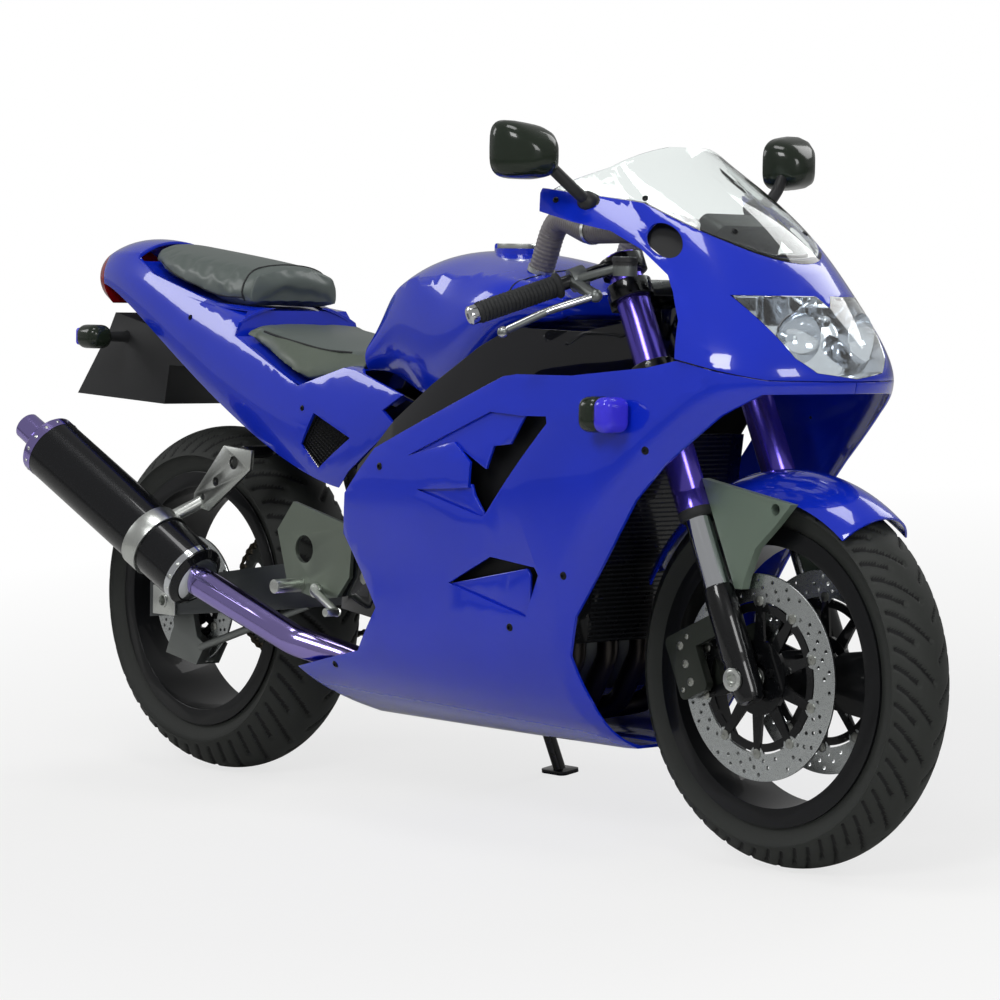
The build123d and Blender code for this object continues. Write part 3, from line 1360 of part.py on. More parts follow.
with BuildPart() as indicators:
    for side in (-1, 1):
        for centre_share, half, root_share in indicator_table:
            x, y, z = placed(centre_share)
            with Locations((x, side * y, z)):
                Box(2 * half[0], 2 * half[1], 2 * half[2])
            rod((x, side * root_share * body_half_width, z), (x, side * y, z), indicator_stalk_radius)
    add(envelope(fairing_section_shares, -running_gap).part, mode=Mode.SUBTRACT)
keep("indicators", indicators)

# Mirrors on the cowl's flaps
mirror_centre_share = (0.7916, 1.160, 1.104)
mirror_rear_size = (112, 104)
mirror_rear_corner_radius = 24
mirror_front_size = (66, 60)
mirror_front_corner_radius = 20
mirror_depth = 70
mirror_stalk_shares = [(0.8042, 0.720, 1.024), (0.8084, 0.856, 1.040), (0.8028, 1.024, 1.074)]
mirror_stalk_radius = 13
mirror_sweep = 12
mirror_centre = placed(mirror_centre_share)

with BuildPart() as mirrors:
    for side in (-1, 1):
        facing = Vector(cos(radians(mirror_sweep)), side * sin(radians(mirror_sweep)), 0)
        rear_face = Plane(origin=(mirror_centre[0] - mirror_depth / 2, side * mirror_centre[1],
                                  mirror_centre[2]),
                          x_dir=(-side * facing.Y, side * facing.X, 0), z_dir=facing)
        with BuildSketch(rear_face):
            RectangleRounded(*mirror_rear_size, mirror_rear_corner_radius)
        with BuildSketch(rear_face.offset(mirror_depth)):
            RectangleRounded(*mirror_front_size, mirror_front_corner_radius)
        loft()
        bar_run([placed((x, side * y, z)) for x, y, z in mirror_stalk_shares], mirror_stalk_radius)
    add(envelope(cowl_section_shares, -running_gap).part, mode=Mode.SUBTRACT)
keep("mirrors", mirrors)

# Instrument panel ahead of the upper yoke
panel_centre_share = (0.9021, 0.000, 0.966)
panel_width = 148
panel_height = 78
panel_depth = 46
panel_corner_radius = 15
with BuildPart() as instrument_panel:
    with BuildSketch(Plane(origin=placed(panel_centre_share), x_dir=(0, 1, 0),
                           z_dir=(-cos(rake_angle), 0, sin(rake_angle)))):
        RectangleRounded(panel_width, panel_height, panel_corner_radius)
    extrude(amount=panel_depth / 2, both=True)
    add(frame.part, mode=Mode.SUBTRACT)
keep("instrument_panel", instrument_panel)

# Air hoses from the cowl to the tank
hose_shares = [
    (0.8497, 0.600, 0.985), (0.7552, 0.488, 0.984), (0.6818, 0.368, 1.012), (0.6503, 0.368, 0.905),
]
hose_radius = 21
hose_corner_radius = 45

with BuildPart() as air_hoses:
    for side in (-1, 1):
        with BuildLine() as hose_path:
            FilletPolyline(*[placed((x, side * y, z)) for x, y, z in hose_shares],
                           radius=hose_corner_radius)
        with BuildSketch(Plane(origin=hose_path.line @ 0, z_dir=hose_path.line % 0)):
            Circle(hose_radius)
        sweep(path=hose_path.line)
    add(fuel_tank.part, mode=Mode.SUBTRACT)
keep("air_hoses", air_hoses)

# Footrest plates, pegs and pedals
plate_y_share = 0.756
plate_thickness = 8
foot_plate_shares = [
    (0.412, 0.462), (0.406, 0.488), (0.300, 0.520), (0.270, 0.470), (0.292, 0.372), (0.350, 0.357),
    (0.386, 0.364), (0.408, 0.400),
]
foot_plate_bolt_shares = [(0.400, 0.472), (0.397, 0.396)]
foot_plate_bolt_radius = 8
foot_plate_bolt_y_share = 0.640
foot_plate_hole_share = (0.322, 0.440)
foot_plate_hole_radius = 24
peg_share = (0.3161, 0.756, 0.378)
peg_radius = 12
peg_length = 58
pedal_shares = [(0.3497, 0.824, 0.372), (0.4126, 0.912, 0.342), (0.4266, 0.976, 0.346)]
pedal_radius = 7
pedal_tip_length = 26
plate_y = plate_y_share * body_half_width
foot_plate_bolt_y = foot_plate_bolt_y_share * body_half_width
peg_x, _, peg_z = placed(peg_share)

with BuildPart() as footrest_plates:
    for side in (-1, 1):
        with BuildSketch(side_plane(side * plate_y)):
            Polygon(*side_points(foot_plate_shares), align=None)
            with Locations((foot_plate_hole_share[0] * wheelbase,
                            foot_plate_hole_share[1] * cockpit_height)):
                Circle(foot_plate_hole_radius, mode=Mode.SUBTRACT)
        extrude(amount=-side * plate_thickness)
        for x, z in side_points(foot_plate_bolt_shares):
            rod((x, side * foot_plate_bolt_y, z), (x, side * plate_y, z), foot_plate_bolt_radius)
    add(frame.part, mode=Mode.SUBTRACT)
keep("footrest_plates", footrest_plates)

with BuildPart() as foot_controls:
    for side in (-1, 1):
        foot_y = plate_y + plate_thickness
        rod((peg_x, side * foot_y, peg_z), (peg_x, side * (foot_y + peg_length), peg_z), peg_radius)
        points = [placed((x, side * y, z)) for x, y, z in pedal_shares]
        rod((points[0][0], side * foot_y, points[0][2]), points[0], peg_radius)
        bar_run(points, pedal_radius)
        rod(points[-1], (points[-1][0], points[-1][1] + side * pedal_tip_length, points[-1][2]),
            pedal_radius)
keep("foot_controls", foot_controls)

# Side stand
with BuildPart() as side_stand:
    with BuildSketch(stand_face.offset(running_gap)):
        Circle(stand_boss_radius)
    extrude(amount=stand_boss_length)
    ankle = stand_foot + floor_normal * stand_foot_thickness / 2
    rod(stand_pivot, tuple(ankle), stand_leg_radius)
    with BuildSketch(Plane(origin=stand_foot, x_dir=(1, 0, 0), z_dir=floor_normal)):
        RectangleRounded(stand_foot_length, stand_foot_width, stand_foot_corner_radius)
    extrude(amount=stand_foot_thickness)
    with BuildSketch(stand_face):
        Circle(stand_pin_radius + running_gap)
    extrude(amount=overrun, both=True, mode=Mode.SUBTRACT)
keep("side_stand", side_stand)

# Park the machine: lean it to the left and set the origin under the middle of its box
leaned = Location((0, 0, 0), (lean, 0, 0)).inverse()
box = Compound([leaned * piece for piece in pieces.values()]).bounding_box()
park = Location((-box.center().X, -box.center().Y, -box.min.Z)) * leaned

for name, piece in pieces.items():
    parked = park * piece
    parked.label = name
    export_step(parked, f"parts/{name}.step")
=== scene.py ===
import json
from math import atan2, cos, pi, radians, sin, tan

import bpy
from bpy.props import FloatProperty, FloatVectorProperty, IntProperty, PointerProperty
from mathutils import Matrix, Vector
from mathutils.bvhtree import BVHTree


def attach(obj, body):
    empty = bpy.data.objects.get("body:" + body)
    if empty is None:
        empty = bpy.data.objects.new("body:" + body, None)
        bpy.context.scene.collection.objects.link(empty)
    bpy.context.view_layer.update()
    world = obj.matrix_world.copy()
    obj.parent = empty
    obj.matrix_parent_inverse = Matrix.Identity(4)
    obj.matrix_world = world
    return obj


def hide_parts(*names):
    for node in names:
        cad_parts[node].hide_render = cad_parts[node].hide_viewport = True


bl_info = {
    "name": "Sport bike",
    "version": (1, 0, 0),
    "blender": (4, 5, 0),
    "location": "3D View > Sidebar > Sport bike",
    "description": "Dresses the frame of a sport bike with a full fairing",
    "category": "Object",
}

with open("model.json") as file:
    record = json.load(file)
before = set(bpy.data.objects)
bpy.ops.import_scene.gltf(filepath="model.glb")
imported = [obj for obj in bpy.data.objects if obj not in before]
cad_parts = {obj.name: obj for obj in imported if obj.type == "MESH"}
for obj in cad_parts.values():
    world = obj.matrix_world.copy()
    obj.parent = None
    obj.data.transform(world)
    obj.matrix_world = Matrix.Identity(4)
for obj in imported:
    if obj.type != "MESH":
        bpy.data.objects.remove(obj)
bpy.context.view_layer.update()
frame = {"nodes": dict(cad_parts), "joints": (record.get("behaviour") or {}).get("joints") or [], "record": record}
body_of_node = {node: body for body, nodes in frame["record"]["behaviour"]["bodies"].items()
                for node in nodes}
joints = {joint["name"]: joint for joint in frame["joints"]}

# The parked bike leans on its stand. Pieces are drawn upright, in millimetres from the floor
# under the rear axle, with +X forward and +Y to the rider's left, and this matrix parks them.
lean_axis = Vector(joints["rear_wheel_spin"]["axis"])
rear_hub = Vector(joints["rear_wheel_spin"]["pos_m"])
turn = Matrix((Vector((1, 0, 0)), lean_axis, Vector((1, 0, 0)).cross(lean_axis))).transposed()
rear_axle_z = 1000 * rear_hub.z / lean_axis.y
park = (Matrix.Translation(rear_hub - turn @ Vector((0, 0, rear_axle_z / 1000)))
        @ turn.to_4x4() @ Matrix.Scale(0.001, 4))
upright = park.inverted()
rear_axle = upright @ rear_hub
front_axle = upright @ Vector(joints["front_wheel_spin"]["pos_m"])
steering_up = (turn.transposed() @ Vector(joints["steering"]["axis"])).normalized()
leftward = Vector((0, 1, 0))
skyward = Vector((0, 0, 1))
sides = ((-1, "right"), (1, "left"))


def linear(hex_colour):
    """Linear colour of an sRGB hex value."""
    parts = [int(hex_colour[i:i + 2], 16) / 255 for i in (0, 2, 4)]
    return tuple(c / 12.92 if c <= 0.04045 else ((c + 0.055) / 1.055) ** 2.4 for c in parts)


class BikeColours(bpy.types.PropertyGroup):
    """Colours that a user would change."""
    bodywork: FloatVectorProperty(name="Bodywork", description="Gloss paint of the panels",
                                  subtype="COLOR", size=3, default=linear("0A2AC0"))
    fork: FloatVectorProperty(name="Fork tubes", description="Anodised outer fork tubes",
                              subtype="COLOR", size=3, default=linear("6A5AD0"))
    seat: FloatVectorProperty(name="Seat", description="Vinyl of both seats",
                              subtype="COLOR", size=3, default=linear("2B312B"))
    frame: FloatVectorProperty(name="Frame", description="Gloss paint of the frame",
                               subtype="COLOR", size=3, default=linear("0E0F14"))


class BikeSizes(bpy.types.PropertyGroup):
    """Sizes that a user would change."""
    groove_depth: FloatProperty(name="Groove depth", description="Depth of the tyre grooves",
                                default=0.004, unit="LENGTH", min=0.001, max=0.008)
    disc_hole: FloatProperty(name="Disc hole", description="Diameter of the holes in the brake discs",
                             default=0.0065, unit="LENGTH", min=0.003, max=0.01)
    edge: FloatProperty(name="Panel edge", description="Rounding of the edges of the panels",
                        default=0.0016, unit="LENGTH", min=0.0005, max=0.003)
    chain_links: IntProperty(name="Chain links", description="Links in the drive chain",
                             default=112, min=90, max=130)


# Finishes: each real material with its colour, metallic, roughness, clear coat, and the grain
# that its surface shows: size of the grain in millimetres, bump in millimetres, roughness spread
finishes = {
    # Solvent enamel under clear coat: deep colour with a mirror-like top and faint orange peel
    "gloss_enamel": ("0A2AC0", 0.0, 0.20, 1.0, (9.0, 0.010, 0.02)),
    # Thinner black enamel on brackets, tubes and small castings: a softer mirror
    "black_enamel": ("0B0C0E", 0.0, 0.28, 0.6, (14.0, 0.006, 0.03)),
    # Moulded ABS with a fine spark-eroded grain: satin black
    "grained_abs": ("141517", 0.0, 0.52, 0.0, (1.6, 0.05, 0.10)),
    # Glass-filled nylon of the rear mudguard: dull near-black
    "filled_nylon": ("1B1C1E", 0.0, 0.62, 0.0, (1.2, 0.06, 0.10)),
    # Polished ABS of mirror shells and indicators: black with a greenish cast
    "polished_abs": ("20281F", 0.0, 0.20, 0.4, (12.0, 0.01, 0.03)),
    # Moulded polypropylene of the fork guards: soft grey-green sheen
    "grey_polypropylene": ("68776A", 0.0, 0.42, 0.0, (2.0, 0.04, 0.08)),
    # Tyre rubber: matt carbon-black compound
    "tyre_rubber": ("202320", 0.0, 0.70, 0.0, (1.4, 0.10, 0.08)),
    # The same rubber in the grooves, painted darker as shade in the grooves: deep matt black
    "groove_shade_rubber": ("08090A", 0.0, 0.85, 0.0, (1.4, 0.06, 0.05)),
    # Soft rubber of grips, piping and stalks: matt black
    "grip_rubber": ("121416", 0.0, 0.66, 0.0, (1.0, 0.08, 0.08)),
    # Silicone of the air hoses: warm grey with a soft shine
    "hose_silicone": ("6E6A6C", 0.0, 0.45, 0.0, (2.4, 0.05, 0.08)),
    # Powder coat on the cast wheels: even satin black
    "powder_coat": ("101113", 0.0, 0.34, 0.2, (1.8, 0.03, 0.06)),
    # Gloss black paint over pressed frame alloy: deep, wet-looking highlights
    "frame_paint": ("0E0F14", 0.0, 0.16, 1.0, (12.0, 0.01, 0.03)),
    # Satin dark grey paint on the swingarm casting: broad dim highlights
    "arm_paint": ("3C4042", 0.5, 0.36, 0.0, (2.2, 0.03, 0.08)),
    # Brushed alloy of the hanger, pedals, caps and lid: pale, broken shine
    "brushed_alloy": ("CDD0CC", 1.0, 0.30, 0.0, (1.0, 0.03, 0.10)),
    # Cast alloy of the engine, controls and sprocket: grey with a soft grain
    "cast_alloy": ("7C807E", 0.9, 0.42, 0.0, (1.8, 0.06, 0.10)),
    # Polished alloy of levers and bar ends: bright mirror
    "polished_alloy": ("D5D7DA", 1.0, 0.14, 0.0, (5.0, 0.01, 0.04)),
    # Violet anodised fork tube: tinted metal, satin
    "violet_anodising": ("6A5AD0", 0.85, 0.20, 0.0, (3.0, 0.01, 0.04)),
    # Hard chrome on the stanchions and the silencer's cap: clear mirror
    "hard_chrome": ("DDE0E4", 1.0, 0.07, 0.0, (8.0, 0.005, 0.02)),
    # Ground stainless disc face: pale with a scattered shine
    "ground_steel": ("C4C8C8", 1.0, 0.28, 0.0, (1.2, 0.03, 0.10)),
    # Polished stainless exhaust with the violet tint of heat
    "tinted_steel": ("A294D8", 1.0, 0.15, 0.0, (30.0, 0.02, 0.05)),
    # Black wrapped silencer shell: long soft highlights
    "silencer_skin": ("101114", 0.2, 0.26, 0.5, (4.0, 0.02, 0.05)),
    # Stainless header pipes, dulled dark by heat
    "header_steel": ("3A3634", 0.9, 0.34, 0.0, (14.0, 0.02, 0.08)),
    # Caliper paint: satin black with a green cast
    "caliper_paint": ("30342F", 0.3, 0.38, 0.2, (2.4, 0.03, 0.06)),
    # Sand-cast alloy of the footrest plates: grey-green and grainy
    "plate_casting": ("7E877C", 0.8, 0.40, 0.0, (2.0, 0.06, 0.10)),
    # Zinc plate on bolts: dull silver
    "zinc_plate": ("A6A8A2", 1.0, 0.36, 0.0, (2.0, 0.02, 0.08)),
    # Black oxide on screws: dark, faintly metallic
    "black_oxide": ("1A1B1D", 0.7, 0.40, 0.0, (2.0, 0.02, 0.06)),
    # Oiled steel chain: brown-grey with a greasy shine
    "oiled_steel": ("6B6356", 0.9, 0.40, 0.0, (2.0, 0.05, 0.10)),
    # Spring steel under grey enamel: soft clean highlights
    "spring_enamel": ("8A8D92", 0.3, 0.30, 0.3, (3.0, 0.02, 0.05)),
    # Seat vinyl with a pebbled leather grain: green-black sheen
    "seat_vinyl": ("2B312B", 0.0, 0.44, 0.0, (3.2, 0.16, 0.10)),
    # The same vinyl on the seat sides, paler: grey-green
    "side_vinyl": ("565F54", 0.0, 0.42, 0.0, (3.2, 0.16, 0.10)),
    # Vacuum-metallised lamp bowl: bright mirror
    "lamp_bowl": ("D8DBE0", 1.0, 0.10, 0.0, (20.0, 0.01, 0.02)),
    # Acrylic of the tail lamp: glossy deep red
    "red_lens": ("8E1014", 0.0, 0.12, 0.5, (5.0, 0.03, 0.03)),
    # Acrylic of the indicators: glossy blue-violet
    "violet_lens": ("4038E0", 0.0, 0.12, 0.5, (5.0, 0.03, 0.03)),
    # Black painted mesh, and the dark sheets of painted shade behind openings: nearly no shine
    "black_mesh_and_shade": ("0C0D0E", 0.4, 0.48, 0.0, (1.0, 0.05, 0.06)),
    # Radiator core: dark matt alloy fins, broken into fine lines
    "radiator_core": ("24262A", 0.6, 0.50, 0.0, (1.4, 0.05, 0.08)),
    # Silvered glass: sharp mirror
    "silvered_glass": ("E6E9EC", 1.0, 0.02, 0.0, (40.0, 0.0, 0.01)),
    # Black glass of the dials: sharp highlights over black
    "dial_glass": ("0A0B0D", 0.0, 0.08, 0.5, (10.0, 0.005, 0.02)),
    # Printed dial marks: matt white
    "dial_white": ("DADDDD", 0.0, 0.50, 0.0, (2.0, 0.01, 0.05)),
}
# Clear plastics: colour, roughness, index of refraction
clear_finishes = {
    # Clear polycarbonate screen with a faint smoke tint
    "clear_screen": ("EDF3F1", 0.015, 1.49),
    # Clear polycarbonate lamp lens: colourless, soft highlights
    "clear_lens": ("F3F7F8", 0.03, 1.49),
}


def wired(tree, node, settings=None, links=None):
    """Gives a node its settings, and links its inputs, by name or number, to outputs."""
    for name, value in (settings or {}).items():
        if isinstance(name, int) or name in node.inputs:
            node.inputs[name].default_value = value
        else:
            setattr(node, name, value)
    for name, output in (links or {}).items():
        tree.links.new(output, node.inputs[name])
    return node


def add_node(tree, kind, settings=None, links=None):
    """Adds a node with its settings and links."""
    return wired(tree, tree.nodes.new(kind), settings, links)


def finish(name):
    """The material of a finish, made once."""
    if name in bpy.data.materials:
        return bpy.data.materials[name]
    colours = bpy.context.scene.bike_colours
    chosen = {"gloss_enamel": colours.bodywork, "violet_anodising": colours.fork,
              "seat_vinyl": colours.seat, "frame_paint": colours.frame}
    material = bpy.data.materials.new(name)
    material.use_nodes = True
    tree = material.node_tree
    shader = tree.nodes["Principled BSDF"]
    place = {"Vector": add_node(tree, "ShaderNodeTexCoord").outputs["Object"]}
    if name in clear_finishes:
        colour, roughness, ior = clear_finishes[name]
        # moulded sheet is never quite flat: a faint ripple, 60 mm wide
        ripple = add_node(tree, "ShaderNodeTexNoise", {"Scale": 1000 / 60}, place)
        bump = add_node(tree, "ShaderNodeBump", {"Strength": 0.15, "Distance": 0.0002},
                        {"Height": ripple.outputs["Fac"]})
        wired(tree, shader, {"Base Color": (*linear(colour), 1), "Roughness": roughness, "IOR": ior,
                             "Transmission Weight": 1}, {"Normal": bump.outputs["Normal"]})
        return material
    colour, metallic, roughness, coat, (grain, bump_size, spread) = finishes[name]
    colour = (*chosen[name], 1) if name in chosen else (*linear(colour), 1)
    darkest = 0.86
    darker = (*[c * darkest for c in colour[:3]], 1)
    noise = add_node(tree, "ShaderNodeTexNoise", {"Scale": 1000 / grain, "Detail": 3.0}, place)
    # broad patches, about 110 mm wide, keep a large face from looking evenly dyed
    broad = add_node(tree, "ShaderNodeTexNoise", {"Scale": 9.0, "Detail": 2.0}, place)
    shade = add_node(tree, "ShaderNodeMix", {"data_type": "RGBA", 6: colour, 7: darker},
                     {"Factor": broad.outputs["Fac"]})
    gloss = add_node(tree, "ShaderNodeMapRange",
                     {"To Min": max(roughness - spread, 0.01), "To Max": roughness + spread},
                     {"Value": noise.outputs["Fac"]})
    bump = add_node(tree, "ShaderNodeBump", {"Strength": 0.6, "Distance": bump_size / 1000},
                    {"Height": noise.outputs["Fac"]})
    wired(tree, shader, {"Metallic": metallic, "Coat Weight": coat, "Coat Roughness": 0.03},
          {"Base Color": shade.outputs[2], "Roughness": gloss.outputs["Result"],
           "Normal": bump.outputs["Normal"]})
    if coat:
        # under a clear coat the pigment layer itself hardly shines
        shader.inputs["Specular IOR Level"].default_value = 0.15
    return material


def alone(piece):
    """Makes a piece the only selected and the active one."""
    bpy.ops.object.select_all(action="DESELECT")
    piece.select_set(True)
    bpy.context.view_layer.objects.active = piece


def edit(piece):
    """Opens a piece for editing, all of it selected."""
    alone(piece)
    bpy.ops.object.mode_set(mode="EDIT")
    bpy.ops.mesh.select_all(action="SELECT")


def close_edit():
    """Leaves edit mode."""
    bpy.ops.object.mode_set(mode="OBJECT")


def shown(name, data):
    """A new object of the scene."""
    piece = bpy.data.objects.new(name, data)
    bpy.context.scene.collection.objects.link(piece)
    return piece


def drawn(name, points, edges=(), faces=()):
    """A new piece from drawn points."""
    mesh = bpy.data.meshes.new(name)
    mesh.from_pydata(points, edges, faces)
    return shown(name, mesh)


def tidy(piece):
    """Merges doubles and turns the faces outwards."""
    edit(piece)
    bpy.ops.mesh.remove_doubles(threshold=0.00002)
    bpy.ops.mesh.normals_make_consistent(inside=False)
    close_edit()


def apply(piece, kind, **settings):
    """Adds a modifier with its settings and applies it."""
    alone(piece)
    modifier = piece.modifiers.new(kind.lower(), kind)
    for name, value in settings.items():
        setattr(modifier, name, value)
    bpy.ops.object.modifier_apply(modifier=modifier.name)


def cut(piece, cutter):
    """Cuts one piece with another, which goes."""
    apply(piece, "BOOLEAN", object=cutter, operation="DIFFERENCE", solver="EXACT")
    bpy.data.objects.remove(cutter)


def joined(name, pieces):
    """Joins pieces into one."""
    alone(pieces[0])
    for piece in pieces:
        piece.select_set(True)
    if len(pieces) > 1:
        bpy.ops.object.join()
    pieces[0].name = name
    return pieces[0]


def finished(piece, finish_name, body, nodes=(), angle=32):
    """Gives a piece its material, its shading, its body and the nodes it stands for."""
    piece.data.materials.clear()
    piece.data.materials.append(finish(finish_name))
    alone(piece)
    bpy.ops.object.shade_smooth_by_angle(angle=radians(angle))
    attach(piece, body)
    if nodes:
        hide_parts(*nodes)
    return piece


def parked(piece, finish_name, body="chassis", nodes=(), angle=32):
    """Puts a piece that was drawn upright in millimetres on the parked bike, and finishes it."""
    piece.data.transform(park)
    return finished(piece, finish_name, body, nodes, angle)


def lathed(name, profile, start, end, steps=48):
    """Turned piece: points along the axis and out from it, from start towards end, upright."""
    piece = drawn(name, [(radius, 0, along) for along, radius in profile],
                  [(i, i + 1) for i in range(len(profile) - 1)])
    edit(piece)
    bpy.ops.mesh.spin(steps=steps, angle=2 * pi, center=(0, 0, 0), axis=(0, 0, 1))
    bpy.ops.mesh.remove_doubles(threshold=0.001)
    bpy.ops.mesh.normals_make_consistent(inside=False)
    close_edit()
    start, end = Vector(start), Vector(end)
    piece.data.transform(Matrix.Translation(start)
                         @ (end - start).to_track_quat("Z", "Y").to_matrix().to_4x4())
    return piece


def rod(low, high, radius):
    """Profile of a plain closed cylinder."""
    return [(low, 0), (low, radius), (high, radius), (high, 0)]


def collar(low, high, inner, outer):
    """Profile of a plain ring."""
    return [(low, inner), (low, outer), (high, outer), (high, inner), (low, inner)]


def turned(name, profile, start, end, steps, *looks, **more):
    """Turned piece, parked and finished."""
    return parked(lathed(name, profile, start, end, steps), *looks, **more)


def repeated(name, profile, spots, way, steps):
    """The same turned piece at many spots, joined; one way for all, or one each."""
    ways = way if isinstance(way, list) else [way] * len(spots)
    return joined(name, [lathed(name, profile, spot, spot + one, steps) for spot, one in zip(spots, ways)])


def tubed(name, points, radius, resolution=4, smooth=True):
    """Tube along points, upright."""
    curve = bpy.data.curves.new(name, "CURVE")
    curve.dimensions = "3D"
    curve.bevel_depth = radius
    curve.bevel_resolution = resolution
    curve.use_fill_caps = True
    curve.resolution_u = 8
    spline = curve.splines.new("BEZIER" if smooth else "POLY")
    knots = spline.bezier_points if smooth else spline.points
    knots.add(len(points) - 1)
    for knot, point in zip(knots, points):
        if smooth:
            knot.co = point
            knot.handle_left_type = knot.handle_right_type = "AUTO"
        else:
            knot.co = (*point, 1)
    alone(shown(name, curve))
    bpy.ops.object.convert(target="MESH")
    return bpy.context.view_layer.objects.active


def slab(piece, depth):
    """Gives a flat piece a depth across the bike, upright."""
    edit(piece)
    bpy.ops.mesh.extrude_region_move(TRANSFORM_OT_translate={"value": (0, depth, 0)})
    close_edit()
    tidy(piece)
    return piece


def plate(name, outline, y_from, y_to, edge):
    """Plate with a side-view outline between two widths, upright."""
    piece = slab(drawn(name, [(x, y_from, z) for x, z in outline], faces=[range(len(outline))]),
                 y_to - y_from)
    apply(piece, "BEVEL", width=edge, segments=2, limit_method="ANGLE", angle_limit=radians(40))
    return piece


def block(name, size, centre, edge=0.0, segments=6):
    """Rounded block, upright."""
    bpy.ops.object.select_all(action="DESELECT")
    bpy.ops.mesh.primitive_cube_add(size=1, location=(0, 0, 0))
    piece = bpy.context.view_layer.objects.active
    piece.name = name
    piece.data.transform(Matrix.Translation(centre) @ Matrix.Diagonal((*size, 1)))
    if edge:
        apply(piece, "BEVEL", width=edge, segments=segments)
    return piece


def skin(rings, count, shut=True, looped=False):
    """Faces between rings of points: each ring shut or open, and the last joined to the first."""
    return [(r * count + k, (r + 1) % rings * count + k,
             (r + 1) % rings * count + (k + 1) % count, r * count + (k + 1) % count)
            for r in range(rings if looped else rings - 1) for k in range(count if shut else count - 1)]


def capped_skin(rings, count):
    """Faces of a tube of rings of points, with both ends closed."""
    return [*skin(rings, count), range(count), range((rings - 1) * count, rings * count)]


def copied(name, node):
    """A merged copy of a CAD node, left open for editing."""
    piece = shown(name, frame["nodes"][node].data.copy())
    edit(piece)
    bpy.ops.mesh.remove_doubles(threshold=0.00002)
    return piece


def dressed(node, finish_name, edge, segments=0, angle=30):
    """A copy of a CAD node, with rounded edges, that stands for it."""
    piece = copied(node + "_shell", node)
    bpy.ops.mesh.dissolve_limited(angle_limit=radians(0.4))
    close_edit()
    if edge:
        apply(piece, "BEVEL", width=edge, segments=segments or (3 if edge > 0.002 else 2),
              limit_method="ANGLE", angle_limit=radians(angle))
    return finished(piece, finish_name, body_of_node[node], [node], angle=angle)


def half_shell(name, node, keep, thickness, finish_name):
    """A copy of the faces of a node that a test on their normal keeps, with a thickness."""
    piece = copied(name, node)
    bpy.ops.mesh.select_all(action="DESELECT")
    close_edit()
    for face in piece.data.polygons:
        face.select = not keep(turn.transposed() @ face.normal)
    bpy.ops.object.mode_set(mode="EDIT")
    bpy.ops.mesh.select_mode(type="FACE")
    bpy.ops.mesh.delete(type="FACE")
    close_edit()
    if thickness:
        apply(piece, "SOLIDIFY", thickness=thickness, offset=-1)
    return finished(piece, finish_name, body_of_node[node], angle=40)


def search_tree(mesh):
    """A tree of a mesh's faces, to find where lines meet it."""
    return BVHTree.FromPolygons([v.co for v in mesh.vertices], [f.vertices for f in mesh.polygons])


surfaces = {}


def on_surface(node, x, z, side=-1):
    """Point and outward normal where a line across the bike meets a node, upright."""
    if node not in surfaces:
        surfaces[node] = search_tree(frame["nodes"][node].data)
    start = park @ Vector((x, side * 600, z))
    spot, normal, _, _ = surfaces[node].ray_cast(start, turn @ Vector((0, -side, 0)))
    if spot is None:
        raise RuntimeError(f"nothing of {node} at {x}, {z}")
    back = turn.transposed() @ normal
    return upright @ spot, -back if back.y * side < 0 else back


def fork_point(along, ahead=0, across=0):
    """Point beside the front axle, along the fork, ahead of it and across, upright."""
    forward = Vector((steering_up.z, 0, -steering_up.x))
    return Vector((front_axle.x, across, front_axle.z)) + steering_up * along + forward * ahead


def around(hub, reach, angle, y=0):
    """Point at a distance from a hub and at an angle in the side view, upright."""
    return Vector((hub.x + reach * cos(angle), y, hub.z + reach * sin(angle)))


def angles(count, phase=0):
    """Evenly spread angles of a full turn."""
    return [2 * pi * (k + phase) / count for k in range(count)]


def screw(name, spot, normal, radius, body="chassis", finish_name="black_oxide"):
    """Button-head screw with a socket."""
    profile = [(-3, radius * 0.9), (0, radius), (1.2, radius * 0.92), (2.0, radius * 0.62),
               (2.2, radius * 0.45), (0.4, radius * 0.42), (0.4, 0)]
    return turned(name, profile, spot, spot + normal, 16, finish_name, body)


